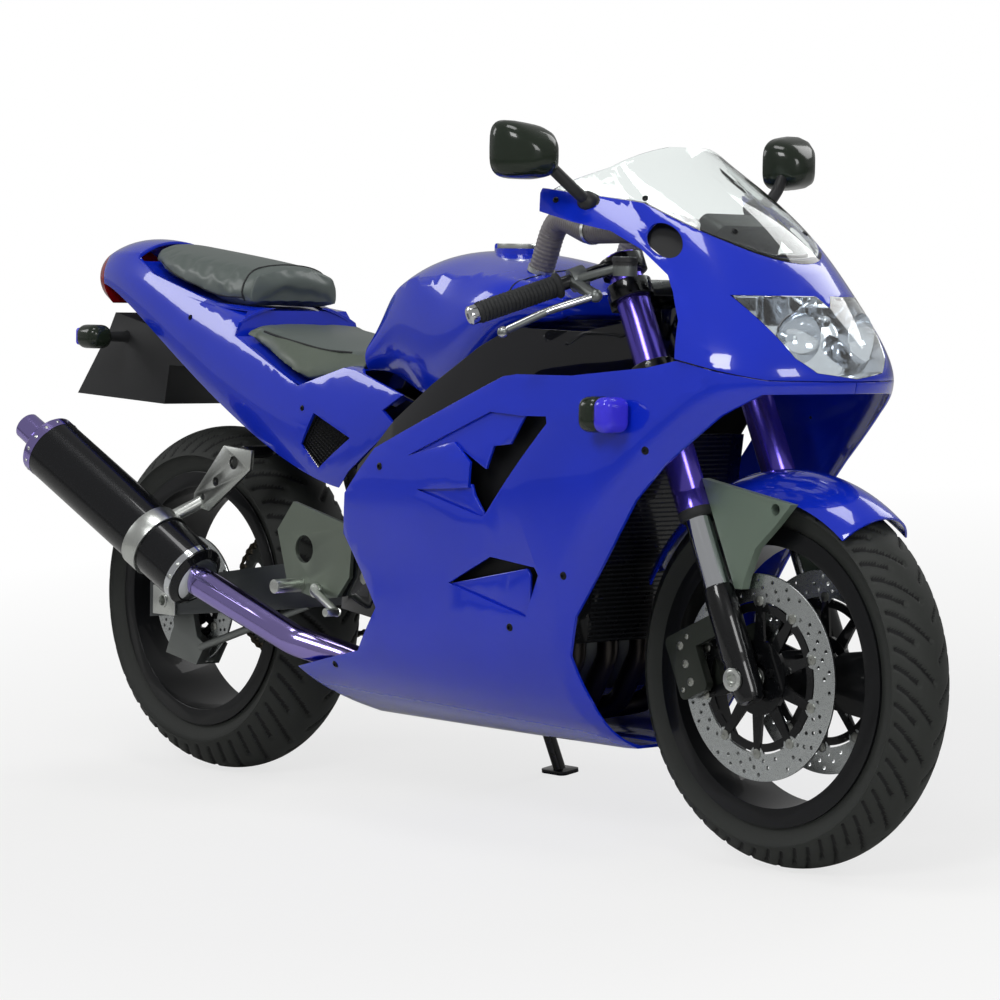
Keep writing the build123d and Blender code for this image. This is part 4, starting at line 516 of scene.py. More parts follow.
class BuildTyres(bpy.types.Operator):
    """Tyres with their grooves cut into the crown"""
    bl_idname = "bike.tyres"
    bl_label = "Tyres"

    def execute(self, context):
        depth = context.scene.bike_sizes.groove_depth * 1000
        shoulder, bead, heel = 262, 238, 217.3
        around_count, rows = 720, 44
        # grooves, in shares of the half-width and of a pitch: a long slanted cut towards the
        # shoulder, and a short one beside it
        grooves = ((0.10, 0.92, 0.10), (0.50, 0.96, 0.60))
        slant, half_groove, wall = 1.15, 0.085, 0.035
        # name, hub, radius, width, seat half-width, pitch count
        for node, hub, radius, width, seat, pitches in (("front_tyre", front_axle, 300, 120, 49.7, 30),
                                                        ("rear_tyre", rear_axle, 315, 178, 69.7, 26)):
            rise = radius - shoulder
            crown = ((width / 2) ** 2 + rise ** 2) / (2 * rise)
            sweep = atan2(width / 2, crown - rise)
            wall_from = [(-seat, heel), (-seat, bead)]
            wall_from += [(-seat - (width / 2 - seat) * s, bead + (shoulder - bead) * (1 - (1 - s) ** 1.8))
                          for s in (0.25, 0.5, 0.75)]
            section = list(wall_from)
            for i in range(rows + 1):
                a = sweep * (2 * i / rows - 1)
                section.append((crown * sin(a), radius - crown + crown * cos(a)))
            crown_to = len(section) - 1
            section += [(-y, r) for y, r in reversed(wall_from)]
            points, sunk = [], set()
            for t in angles(around_count):
                for j, (y, r) in enumerate(section):
                    if len(wall_from) + 1 < j < crown_to - 1:
                        v = y / (width / 2)
                        phase = (t / (2 * pi) * pitches + (0.5 if v > 0 else 0)) % 1
                        near = min([abs((phase - lead - slant * abs(v) + 0.5) % 1 - 0.5)
                                    for inner, outer, lead in grooves if inner < abs(v) < outer], default=1)
                        sink = depth * min(max((half_groove - near) / wall, 0), 1)
                        if sink > depth / 2:
                            sunk.add(len(points))
                        r -= sink
                    points.append(around(hub, r, t, y))
            piece = drawn(node + "_grooved", points, faces=skin(around_count, len(section), looped=True))
            parked(piece, "tyre_rubber", body_of_node[node], [node], angle=50)
            # faces sunk into the grooves take a darker rubber: painted shade in the grooves
            piece.data.materials.append(finish("groove_shade_rubber"))
            for face in piece.data.polygons:
                face.material_index = int(sum(i in sunk for i in face.vertices) > 2)
            tidy(piece)
        return {"FINISHED"}


class BuildWheels(bpy.types.Operator):
    """Cast wheels with rounded spokes, valves and hub rings"""
    bl_idname = "bike.wheels"
    bl_label = "Wheels"

    def execute(self, context):
        for node in ("front_rim", "rear_rim"):
            dressed(node, "powder_coat", 0.004, angle=40)
        for hub, body, seal_y in ((front_axle, "front_wheel", 30.8), (rear_axle, "rear_wheel", 41.25)):
            turned(body + "_valve", [(0, 4), (14, 3.6), (14, 3), (30, 3), (30, 4), (38, 4), (38, 0)],
                   hub + Vector((196, 8 - hub.y, 40)), hub + Vector((150, 34 - hub.y, 30)), 12,
                   "zinc_plate", body)
            for side, hand in sides:
                turned(f"{body}_seal_{hand[0]}",
                       [(-2, 14), (1.5, 14), (2.5, 20), (2.5, 29), (1.0, 32), (-2, 32)],
                       (hub.x, side * seal_y, hub.z), (hub.x, side * 900, hub.z), 32, "cast_alloy", body)
        for node in ("front_axle", "rear_axle"):
            dressed(node, "brushed_alloy", 0.0008)
        return {"FINISHED"}


def drilled_disc(name, hub, y, outer, band, thickness, carrier, body, node, hole, bolts):
    """Floating disc: a drilled band, a carrier with arms and its buttons."""
    inner, half, chamfer = outer - band, thickness / 2, 0.6
    outward = leftward if y > 0 else -leftward
    centre = Vector((hub.x, y, hub.z))
    ring = lathed(name, [(-half, inner), (-half, outer - chamfer), (chamfer - half, outer),
                         (half - chamfer, outer), (half, outer - chamfer), (half, inner), (-half, inner)],
                  centre, centre + leftward, 120)
    # rows of holes, each row a part of a step on, with every fifth hole left out
    rows, across_row = 3, 30
    first_row, row_step = 0.24, 0.26
    spots = [around(hub, inner + band * (first_row + row_step * row), t, y) for row in range(rows)
             for k, t in enumerate(angles(across_row, row / rows)) if (k + row) % 5]
    reach = 4 * thickness
    cut(ring, repeated("holes", rod(-reach, reach, hole / 2), spots, leftward, 10))
    lug_radius, lug_half = 14, half - 0.2
    lugs = repeated("lugs", rod(-lug_half, lug_half, lug_radius),
                    [around(hub, inner + 2, t, y) for t in angles(bolts, 0.5)], leftward, 28)
    parked(joined(name, [ring, lugs]), "ground_steel", body, [node])
    arms = [lathed("carrier", collar(-4, 4, 22, carrier), centre, centre + leftward, 64),
            lathed("rim_band", collar(-1.6, 1.6, inner - 16, inner - 3), centre, centre + leftward, 96)]
    arm_depth, root_half, tip_half = 5, 11, 6
    for t in angles(bolts, 0.5):
        out, across = Vector((cos(t), 0, sin(t))), Vector((-sin(t), 0, cos(t)))
        near_side = centre - leftward * (arm_depth / 2)
        root, tip = near_side + out * (carrier - 6), near_side + out * (inner + 1)
        arms.append(slab(drawn("arm", [root + across * root_half, root - across * root_half,
                                       tip - across * tip_half, tip + across * tip_half],
                               faces=[(0, 1, 2, 3)]), arm_depth))
    parked(joined(name + "_carrier", arms), "black_enamel", body)
    buttons = repeated(name + "_buttons", [(-4.6, 0), (-4.6, 5), (-3.6, 8), (3.6, 8), (4.6, 5), (4.6, 2),
                                           (3.6, 2), (3.6, 0)],
                       [around(hub, inner, t, y) for t in angles(bolts, 0.5)], outward, 16)
    parked(buttons, "zinc_plate", body)
    heads = repeated(name + "_bolts", [(0, 0), (0, 7), (5, 7), (5, 3.5), (2, 3.5), (2, 0)],
                     [around(hub, 30, t, y) + outward * 4 for t in angles(5, 0.25)], outward, 12)
    parked(heads, "black_oxide", body)


class BuildDiscs(bpy.types.Operator):
    """Drilled floating brake discs"""
    bl_idname = "bike.discs"
    bl_label = "Brake discs"

    def execute(self, context):
        hole = context.scene.bike_sizes.disc_hole * 1000
        for side, hand in sides:
            drilled_disc(f"front_disc_{hand}", front_axle, side * 73, 160, 42, 4.5, 58, "front_wheel",
                         "front_discs", hole, 10)
        drilled_disc("rear_disc_drilled", rear_axle, -84, 115, 38, 5, 50, "rear_wheel", "rear_disc", hole, 5)
        return {"FINISHED"}


def prism(points, faces, outline, y_from, y_to, capped=True):
    """Adds a prism across the bike, between two widths, to a list of points and faces."""
    start, size = len(points), len(outline)
    points += [p + leftward * y for y in (y_from, y_to) for p in outline]
    if capped:
        faces += [range(start, start + size), range(start + size, start + 2 * size)]
    faces += [(start + i, start + (i + 1) % size, start + size + (i + 1) % size, start + size + i)
              for i in range(size)]


class BuildDrive(bpy.types.Operator):
    """Chain with its links, and the toothed sprocket"""
    bl_idname = "bike.drive"
    bl_label = "Chain drive"

    def execute(self, context):
        links = context.scene.bike_sizes.chain_links
        front, chain_y = Vector((700, 0, 415)), 105
        span = front - Vector((rear_axle.x, 0, rear_axle.z))
        slope = atan2(span.z, span.x)
        big, small, arc_steps = 110, 42, 24
        spread = (big - small) / span.length
        up, down = slope + pi / 2 - spread, slope - pi / 2 + spread
        path = [around(front, small, down + (up - down) * i / arc_steps) for i in range(arc_steps + 1)]
        path += [around(rear_axle, big, up + (2 * pi - (up - down)) * i / arc_steps)
                 for i in range(arc_steps + 1)]
        path.append(path[0])
        lengths = [0]
        for a, b in zip(path, path[1:]):
            lengths.append(lengths[-1] + (b - a).length)
        pitch = lengths[-1] / links

        def spot(distance):
            distance %= lengths[-1]
            i = next(i for i in range(len(path) - 1) if lengths[i + 1] >= distance)
            return path[i].lerp(path[i + 1], (distance - lengths[i]) / max(lengths[i + 1] - lengths[i], 1e-6))

        # side plates, alternately outer and inner, with a waist between two round ends
        end, end_half, bulge, waist, plate_depth = 5, 3, 5.2, 3.4, 1.5
        outer_y, inner_y, roller_y, roller = 5.6, 4.0, 4.2, 4.6
        points, faces = [], []
        for k in range(links):
            a, b = spot(k * pitch), spot((k + 1) * pitch)
            d = (b - a).normalized()
            n = Vector((-d.z, 0, d.x))
            upper = [a - d * end + n * end_half, a + n * bulge, (a + b) / 2 + n * waist, b + n * bulge,
                     b + d * end + n * end_half]
            lower = [b + d * end - n * end_half, b - n * bulge, (a + b) / 2 - n * waist, a - n * bulge,
                     a - d * end - n * end_half]
            offset = outer_y if k % 2 else inner_y
            for side, _ in sides:
                prism(points, faces, upper + lower, chain_y + side * offset,
                      chain_y + side * (offset + plate_depth))
            prism(points, faces, [around(a, roller, t) for t in angles(10)], chain_y - roller_y,
                  chain_y + roller_y, capped=False)
        piece = drawn("chain_links", points, faces=faces)
        edit(piece)
        bpy.ops.mesh.normals_make_consistent(inside=False)
        close_edit()
        parked(piece, "oiled_steel", nodes=["chain"])
        tooth_count = 42
        teeth = [around(rear_axle, radius, 2 * pi * (k + share) / tooth_count) for k in range(tooth_count)
                 for share, radius in ((0.0, 100), (0.3, 107), (0.5, 107), (0.8, 100))]
        wheel = plate("sprocket_teeth", [(p.x, p.z) for p in teeth], 102, 108, edge=0.6)
        middle = Vector((rear_axle.x, chain_y, rear_axle.z))
        holes = repeated("holes", rod(-40, 40, 14),
                         [around(rear_axle, 70, t, chain_y) for t in angles(5)], leftward, 20)
        bore = lathed("hole", rod(-40, 40, 13.2), middle, middle + leftward, 24)
        cut(wheel, joined("holes", [holes, bore]))
        carrier = lathed("carrier", [(75, 13.5), (75, 40), (92, 46), (101.8, 46), (101.8, 13.5)],
                         (rear_axle.x, 0, rear_axle.z), (rear_axle.x, 1, rear_axle.z), 48)
        parked(joined("rear_sprocket_toothed", [wheel, carrier]), "cast_alloy", "rear_wheel",
               ["rear_sprocket"])
        return {"FINISHED"}


class BuildFork(bpy.types.Operator):
    """Fork tubes with their rings, yokes, guards, calipers and mudguard"""
    bl_idname = "bike.fork"
    bl_label = "Fork"

    def execute(self, context):
        # turned parts of a leg, measured up from the axle: name, finish, node, steps, profile
        leg = (("fork_outer", "violet_anodising", "fork_outers", 64,
                [(268, 20.8), (268, 25), (270, 27), (300, 27), (302, 26.2), (306, 26.2), (308, 27), (478, 27),
                 (704, 27), (707, 26), (708, 24), (708, 17), (700, 16), (700, 0)]),
               ("fork_wiper", "grip_rubber", None, 48,
                [(262, 20.7), (262, 25), (264, 26.6), (270, 27.5), (276, 27.5), (276, 20.7)]),
               ("stanchion", "hard_chrome", "fork_inners", 48, rod(150, 300, 20.5)),
               ("fork_lower", "black_enamel", "fork_lowers", 48,
                [(-38, 0), (-38, 16), (-34, 21), (-20, 24), (30, 24), (34, 25.5), (120, 25), (140, 24.5),
                 (148, 23), (150, 21), (150, 0)]))
        leg_top, leg_y = 708, 105
        for side, hand in sides:
            top, foot = fork_point(leg_top, 0, side * leg_y), fork_point(0, 0, side * leg_y)
            for name, finish_name, node, steps, profile in leg:
                turned(f"{name}_{hand}", profile, foot, foot + steering_up, steps, finish_name, "fork",
                       [node] if node else ())
            turned(f"fork_cap_{hand}", [(0, 0), (0, 16), (5, 16), (6, 15), (6, 9), (14, 9), (14, 0)],
                   top - steering_up * 8, top + steering_up, 24, "brushed_alloy", "fork")
            for along in (494, 512):
                screw(f"yoke_screw_{hand}_{along}", fork_point(along, 20, side * 136), leftward * side,
                      5, "fork", "zinc_plate")
            turned(f"axle_nut_{hand}", [(0, 0), (0, 15), (4, 15), (5, 13), (5, 8.3), (-3, 8.3), (-3, 0)],
                   (front_axle.x, side * 130, front_axle.z), (front_axle.x, side * 140, front_axle.z),
                   24, "brushed_alloy", "fork")
            # the first three hold the caliper's halves together, the other two hold it to the leg
            for k, (ahead, along, radius) in enumerate(((-120, 36, 7), (-120, 66, 7), (-120, 96, 7),
                                                        (-100, 104, 4.5), (-140, 30, 4.5))):
                screw(f"caliper_bolt_{hand}_{k}", fork_point(along, ahead, side * 98), leftward * side,
                      radius, "fork", "zinc_plate")
        for node, name, edge in (("fork_clamps", "black_enamel", 0.003),
                                 ("fork_guards", "grey_polypropylene", 0.003),
                                 ("front_calipers", "caliper_paint", 0.003),
                                 ("front_mudguard", "gloss_enamel", 0.0014)):
            dressed(node, name, edge)
        return {"FINISHED"}


class BuildBars(bpy.types.Operator):
    """Clip-on bars, ribbed grips, levers and the brake reservoir"""
    bl_idname = "bike.bars"
    bl_label = "Bars and levers"

    def execute(self, context):
        dressed("handlebars", "black_enamel", 0.0015)
        dressed("hand_controls", "cast_alloy", 0.0012)
        clip_along, clip_ahead, clip_across = 689, 14, 118
        ribs, bore, valley, crest = 20, 11.2, 16.4, 17.4
        for side, hand in sides:
            start = fork_point(clip_along, clip_ahead, side * clip_across)
            end = start + Vector((-94, side * 220, -82))
            length = (end - start).length
            grip_from = 0.44 * length
            profile = [(grip_from, bore), (grip_from, 20), (grip_from + 4, 21), (grip_from + 8, 18)]
            step = (length - grip_from - 12) / ribs
            for k in range(ribs):
                a = grip_from + 10 + step * k
                profile += [(a, valley), (a + step * 0.3, crest), (a + step * 0.7, crest),
                            (a + step * 0.98, valley)]
            profile += [(length, 16), (length, bore)]
            turned(f"grip_{hand}", profile, start, end, 32, "grip_rubber", "fork", ["grips"], angle=24)
            turned(f"bar_end_{hand}", [(length + along, radius) for along, radius in
                                       ((0, 0), (0, 14), (2, 15), (13, 15), (16, 12), (16, 5), (12, 5),
                                        (12, 0))], start, end, 32, "polished_alloy", "fork")
            lever_points = [start + Vector((x, side * y, z)) for x, y, z in
                            ((26, 82, -52), (10, 117, -64), (-8, 154, -78), (-22, 188, -94),
                             (-34, 220, -110))]
            lever = tubed(f"lever_{hand}", lever_points, 6.2)
            tip = lathed("ball", [(-9, 0), (-8, 4.6), (-5, 7.8), (0, 9), (5, 7.8), (8, 4.6), (9, 0)],
                         lever_points[-1], lever_points[-1] + skyward, 20)
            parked(joined(f"lever_{hand}", [lever, tip]), "polished_alloy", "fork")
        spot = fork_point(clip_along, clip_ahead, -clip_across) + Vector((68, -60, -6))
        turned("brake_reservoir", [(-15, 0), (-15, 17), (-13, 18.6), (6, 19.2), (7, 20.4), (13, 20.4),
                                   (15, 18.5), (15, 0)], spot, spot + skyward, 32, "grained_abs", "fork")
        return {"FINISHED"}


class BuildChassis(bpy.types.Operator):
    """Frame, subframe, swingarm, shock, engine and the rest of the running gear"""
    bl_idname = "bike.chassis"
    bl_label = "Chassis"

    def execute(self, context):
        for node, name, edge in (
                ("frame", "frame_paint", 0.004), ("subframe", "black_enamel", 0.001),
                ("swingarm", "arm_paint", 0.004), ("pivot_bolt", "zinc_plate", 0.001),
                ("engine", "cast_alloy", 0.006), ("rear_caliper", "cast_alloy", 0.002),
                ("silencer_hanger", "brushed_alloy", 0.001), ("footrest_plates", "plate_casting", 0.0015),
                ("foot_controls", "brushed_alloy", 0.001), ("side_stand", "black_enamel", 0.0015),
                ("fairing_stays", "black_enamel", 0.0008), ("rear_mudguard", "filled_nylon", 0.002),
                ("instrument_panel", "grained_abs", 0.003)):
            dressed(node, name, edge)
        low, high = Vector((530, 0, 420)), Vector((636, 0, 616))
        ahead = (high - low).normalized().cross(leftward)
        coils, coil_steps, coil_radius, wire = 7, 12, 26, 4.6
        spring = []
        for k in range(coils * coil_steps + 1):
            t = 2 * pi * k / coil_steps
            spring.append(low.lerp(high, k / (coils * coil_steps))
                          + (leftward * cos(t) + ahead * sin(t)) * coil_radius)
        parked(tubed("shock_spring", spring, wire, resolution=2), "spring_enamel")
        turned("shock_body", [(0, 0), (0, 14), (90, 14), (92, 19), (220, 19), (223, 12), (223, 0)],
               low, high, 32, "cast_alloy", nodes=["rear_shock"])
        covers = ([(0, 0), (0, 92), (14, 90), (24, 80), (28, 60), (30, 0)],
                  [(0, 0), (0, 70), (14, 68), (22, 58), (26, 40), (28, 0)])
        for (side, hand), profile in zip(sides, covers):
            turned(f"engine_cover_{hand}", profile, (840, side * 140, 380), (840, side * 200, 380), 48,
                   "cast_alloy")
        return {"FINISHED"}


class BuildExhaust(bpy.types.Operator):
    """Exhaust pipes and the black silencer with its caps and rivets"""
    bl_idname = "bike.exhaust"
    bl_label = "Exhaust"

    def execute(self, context):
        pipes = dressed("exhaust_pipe", "tinted_steel", 0)
        pipes.data.materials.append(finish("header_steel"))
        headers_from = 690
        for face in pipes.data.polygons:
            face.material_index = int((upright @ face.center).x > headers_from)
        start, end = Vector((210, -230, 368)), Vector((-164, -300, 596))
        length, radius = (end - start).length, 57
        turned("silencer_shell", [(6, 0), (6, 46), (14, radius), (length - 14, radius), (length - 14, 0)],
               start, end, 96, "silencer_skin", nodes=["silencer"])
        turned("silencer_front_cap", [(0, 24), (0, 30), (4, 40), (10, 50), (18, 57.6), (30, 57.6), (30, 56)],
               start, end, 96, "hard_chrome")
        turned("silencer_rear_cap", [(length + along, out) for along, out in
                                     ((-22, 56), (-22, 57.6), (-4, 57.6), (0, 54), (2, 44), (4, 30), (6, 26),
                                      (60, 25), (62, 23.5), (60, 22), (-30, 22))],
               start, end, 96, "tinted_steel")
        axis = (end - start).normalized()
        side = axis.cross(skyward).normalized()
        up = side.cross(axis)
        outs = [side * cos(t) + up * sin(t) for t in angles(14)]
        spots = [start + axis * along + out * radius for along in (22, length - 13) for out in outs]
        parked(repeated("silencer_rivets", [(0, 3.4), (1.0, 3.2), (1.8, 1.8), (2.0, 0)], spots, outs * 2, 10),
               "brushed_alloy")
        return {"FINISHED"}


class BuildPanels(bpy.types.Operator):
    """Fairing panels, nose cowl, tank, tail and the tray under the seats"""
    bl_idname = "bike.panels"
    bl_label = "Bodywork"

    def execute(self, context):
        edge = context.scene.bike_sizes.edge
        for node in ("fairing_left", "fairing_right", "upper_cowl", "fuel_tank", "tail_cowl", "vent_vanes"):
            dressed(node, "gloss_enamel", 0.004 if node == "fuel_tank" else edge, segments=3, angle=48)
        # moulded tray between the tail's walls, under both seats and up the step between them
        line = [(-172, 930), (-110, 903), (-40, 878), (40, 862), (97, 852), (184, 844), (189, 798),
                (250, 772), (300, 754), (350, 733), (400, 713), (460, 732), (515, 748)]
        below, inside, thickness = 10, 4, 2.5
        walls = [abs(on_surface("tail_cowl", x, z - below)[0].y) - inside for x, z in line]
        points = [(x, side * y, z) for (x, z), y in zip(line, walls) for side in (-1, 1)]
        tray = drawn("seat_tray", points, faces=skin(len(line), 2, shut=False))
        tidy(tray)
        apply(tray, "SOLIDIFY", thickness=thickness, offset=0)
        parked(tray, "gloss_enamel")
        # lines from far outside, in an arc over the tank
        arc, far = [radians(a) for a in range(8, 173, 6)], 400
        seam("tank_seam", bpy.data.objects["fuel_tank_shell"],
             [(952, far * cos(t), 760 + far * sin(t)) for t in arc],
             [(0, -cos(t), -sin(t)) for t in arc], radius=1.3)
        dressed("tail_lamp", "red_lens", 0.002, segments=3)
        dressed("fuel_lid", "brushed_alloy", 0.0015, segments=3)
        return {"FINISHED"}


class BuildScrews(bpy.types.Operator):
    """Screws of the panels and the screen"""
    bl_idname = "bike.screws"
    bl_label = "Screws"

    def execute(self, context):
        # node, place in the side view, radius, sides
        table = [("fairing_{}", 730, 596, 6.5, sides), ("fairing_{}", 562, 252, 6.5, sides[:1]),
                 ("fairing_{}", 1027, 353, 6.5, sides), ("fairing_{}", 1322, 647, 6.5, sides),
                 ("fairing_{}", 1152, 444, 6.5, sides), ("windscreen", 1227, 1034, 5, sides),
                 ("windscreen", 1364, 984, 5, sides), ("upper_cowl", 1108, 1030, 5, sides),
                 ("tail_cowl", 420, 680, 5, sides), ("tail_cowl", 40, 830, 5, sides)]
        for k, (node, x, z, radius, where) in enumerate(table):
            for side, hand in where:
                screw(f"panel_screw_{k}_{hand}", *on_surface(node.format(hand), x, z, side), radius)
        return {"FINISHED"}


class BuildLamps(bpy.types.Operator):
    """Clear screen, headlight with its bowls, and the indicators"""
    bl_idname = "bike.lamps"
    bl_label = "Screen and lamps"

    def execute(self, context):
        dressed("windscreen", "clear_screen", 0.001)
        lens = half_shell("headlight_lens", "headlight", lambda n: n.x > 0.3, 0.0025, "clear_lens")
        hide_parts("headlight")
        bowl = half_shell("headlight_housing", "headlight", lambda n: n.x <= 0.3, 0, "lamp_bowl")
        edit(bowl)
        bpy.ops.mesh.flip_normals()
        close_edit()
        for side, hand in sides:
            start = Vector((1466, side * 62, 822))
            end = start + Vector((1, side * 0.25, 0))
            turned(f"headlight_bowl_{hand}",
                   [(0, 0), (0, 8), (6, 20), (16, 31), (28, 38), (30, 39), (28, 39.6), (14, 33), (0, 22),
                    (-4, 8), (-4, 0)], start, end, 40, "lamp_bowl")
            turned(f"headlight_bulb_{hand}", [(0, 6), (14, 6), (20, 4), (22, 0)], start, end, 16,
                   "silvered_glass")
        # The front ones are half body and half lens, and the rear ones a body with a lens let in.
        # Place, root across, body's size and shift, lens's size, shift ahead and out, edge, segments
        table = {"side": ((1262, 254, 700), 232, (72 * 0.62, 56, 56), -72 * 0.19,
                          (36, 55, 55), 18, 0, 15, 6),
                 "rear": ((-236, 148, 790), 74, (60, 52, 44), 0, (14, 40, 32), -24, 2, 6, 4)}
        for where, ((x, y, z), root, size, back, lens_size, ahead, out, edge, segments) in table.items():
            for side, hand in sides:
                body = block(f"indicator_{where}_{hand}", size, (x + back, side * y, z), edge=18)
                parked(body, "polished_abs", nodes=["indicators"] if (where, side) == ("side", -1) else ())
                parked(block(f"indicator_lens_{where}_{hand}", lens_size, (x + ahead, side * (y + out), z),
                             edge, segments), "violet_lens")
                turned(f"indicator_stalk_{where}_{hand}",
                       [(0, 0), (0, 12), (6, 10), (40, 9), (46, 9), (46, 0)],
                       (x, side * root, z), (x, side * y, z), 20, "grip_rubber")
        return {"FINISHED"}


class BuildMirrors(bpy.types.Operator):
    """Mirrors with moulded shells, glass and ball stems"""
    bl_idname = "bike.mirrors"
    bl_label = "Mirrors"

    def execute(self, context):
        # sections from the glass forwards: distance, half-width, half-height, shift in and down
        sections = [(0, 50, 41, 0, 0), (4, 53, 44, 0, 0), (20, 52, 43, -1, 0), (38, 46, 39, -3, -2),
                    (54, 35, 31, -7, -5), (65, 21, 19, -11, -8), (69, 8, 7, -13, -9)]
        sweep, count, squareness, glass_share = radians(12), 40, 0.55, 0.9
        widest, taper, rise = 53, 0.08, 0.07

        def squared(wave):
            return abs(wave) ** squareness * (1 if wave > 0 else -1)

        for side, hand in sides:
            facing = Vector((cos(sweep), side * sin(sweep), 0))
            across = Vector((-side * facing.y, side * facing.x, 0))
            centre = Vector((1097, side * 290, 1104))
            points = []
            for depth, half_w, half_h, shift_in, drop in sections:
                for t in angles(count):
                    u = half_w * squared(cos(t))
                    # outer end taller than the inner, as the shell tapers to its stem
                    v = half_h * squared(sin(t)) * (1 + taper * u / widest) + rise * u
                    points.append(centre + facing * depth + across * (u + shift_in) + skyward * (v + drop))
            shell = drawn(f"mirror_shell_{hand}", points, faces=capped_skin(len(sections), count))
            tidy(shell)
            apply(shell, "BEVEL", width=3, segments=3, limit_method="ANGLE", angle_limit=radians(50))
            parked(shell, "polished_abs", nodes=["mirrors"] if side < 0 else (), angle=50)
            glass_points = [centre - facing * 0.6 + across * (p - centre).dot(across) * glass_share
                            + skyward * (p - centre).z * glass_share for p in points[:count]]
            glass = drawn(f"mirror_glass_{hand}", glass_points, faces=[range(count)])
            apply(glass, "SOLIDIFY", thickness=1.2, offset=0)
            parked(glass, "silvered_glass")
            stem = tubed("stem", [(1150, side * 186, 1026), (1154, side * 204, 1034),
                                  (1150, side * 230, 1053), (1136, side * 262, 1084)], 9.5)
            ball = lathed("ball", [(-17, 0), (-15, 8), (-9, 14.5), (0, 17), (9, 14.5), (15, 8), (17, 0)],
                          (1152, side * 192, 1028), (1152, side * 193, 1028), 28)
            foot = lathed("foot", [(-8, 0), (-8, 20), (2, 20), (5, 17), (5, 0)], (1150, side * 184, 1022),
                          (1150, side * 200, 1030), 28)
            parked(joined(f"mirror_stem_{hand}", [stem, ball, foot]), "grained_abs")
        return {"FINISHED"}


def puffed(node, finish_name):
    """A cushion's cover: its CAD solid, drawn in a little and blown up as cloth under pressure."""
    voxel, drawn_in, most, frames = 0.005, 0.006, 0.007, 20
    piece = shown(node + "_cover", frame["nodes"][node].data.copy())
    tidy(piece)
    apply(piece, "REMESH", mode="VOXEL", voxel_size=voxel)
    apply(piece, "SMOOTH", factor=0.5, iterations=10)
    apply(piece, "DISPLACE", strength=-drawn_in, mid_level=0)
    rest = [v.co.copy() for v in piece.data.vertices]
    alone(piece)
    modifier = piece.modifiers.new("cloth", "CLOTH")
    cloth = modifier.settings
    cloth.use_pressure = True
    cloth.uniform_pressure_force = 4
    cloth.tension_stiffness = cloth.compression_stiffness = 20
    cloth.effector_weights.gravity = 0
    modifier.point_cache.frame_end = frames
    for step in range(1, frames + 1):
        bpy.context.scene.frame_set(step)
    bpy.ops.object.modifier_apply(modifier=modifier.name)
    bpy.context.scene.frame_set(1)
    for vertex, start in zip(piece.data.vertices, rest):
        moved = vertex.co - start
        if moved.length > most:
            vertex.co = start + moved.normalized() * most
    apply(piece, "SMOOTH", factor=0.5, iterations=4)
    apply(piece, "SUBSURF", levels=1, render_levels=1)
    return finished(piece, finish_name, body_of_node[node], [node], angle=60)


def seam(name, cover, starts, ways, radius=2.0):
    """Piping on a cover where lines from upright points meet it."""
    tree = search_tree(cover.data)
    hits = [tree.ray_cast(park @ Vector(start), (turn @ Vector(way)).normalized())[0]
            for start, way in zip(starts, ways)]
    path = [upright @ spot for spot in hits if spot is not None]
    return parked(tubed(name, path, radius, resolution=3), "grip_rubber")


class BuildSeats(bpy.types.Operator):
    """Rider and pillion seats, with their piping"""
    bl_idname = "bike.seats"
    bl_label = "Seats"

    def execute(self, context):
        rider = puffed("rider_seat", "seat_vinyl")
        # edge of the rider's seat from front to rear: x, y, z
        crest = [(512, 92, 778), (460, 98, 777), (400, 107, 779), (340, 113, 789), (280, 115, 800),
                 (230, 113, 812), (200, 108, 818)]
        rider.data.materials.append(finish("side_vinyl"))
        for face in rider.data.polygons:
            spot = upright @ face.center
            for (x_a, y_a, _), (x_b, y_b, _) in zip(crest, crest[1:]):
                if x_b <= spot.x <= x_a:
                    edge = y_a + (y_b - y_a) * (x_a - spot.x) / (x_a - x_b)
                    face.material_index = int(abs(spot.y) > edge)
        # lines come down to the crest from outside and above, and to the pillion from far outside
        out, far = 60, 200
        for side, hand in sides:
            seam(f"rider_piping_{hand}", rider, [(x, side * (y + out), z + out) for x, y, z in crest],
                 [(0, -side, -1)] * len(crest))
        pillion = puffed("pillion_seat", "seat_vinyl")
        # seam round the front panel of the pillion's seat, and one along each side
        arc = [radians(a) for a in range(-14, 195, 8)]
        seam("pillion_front_piping", pillion, [(152, far * cos(t), 885 + far * sin(t)) for t in arc],
             [(0, -cos(t), -sin(t)) for t in arc])
        low_edge = [(150, 868), (80, 872), (10, 890), (-60, 908), (-120, 930)]
        for side, hand in sides:
            seam(f"pillion_piping_{hand}", pillion, [(x, side * far, z) for x, z in low_edge],
                 [(0, -side, 0)] * len(low_edge), radius=1.6)
        return {"FINISHED"}


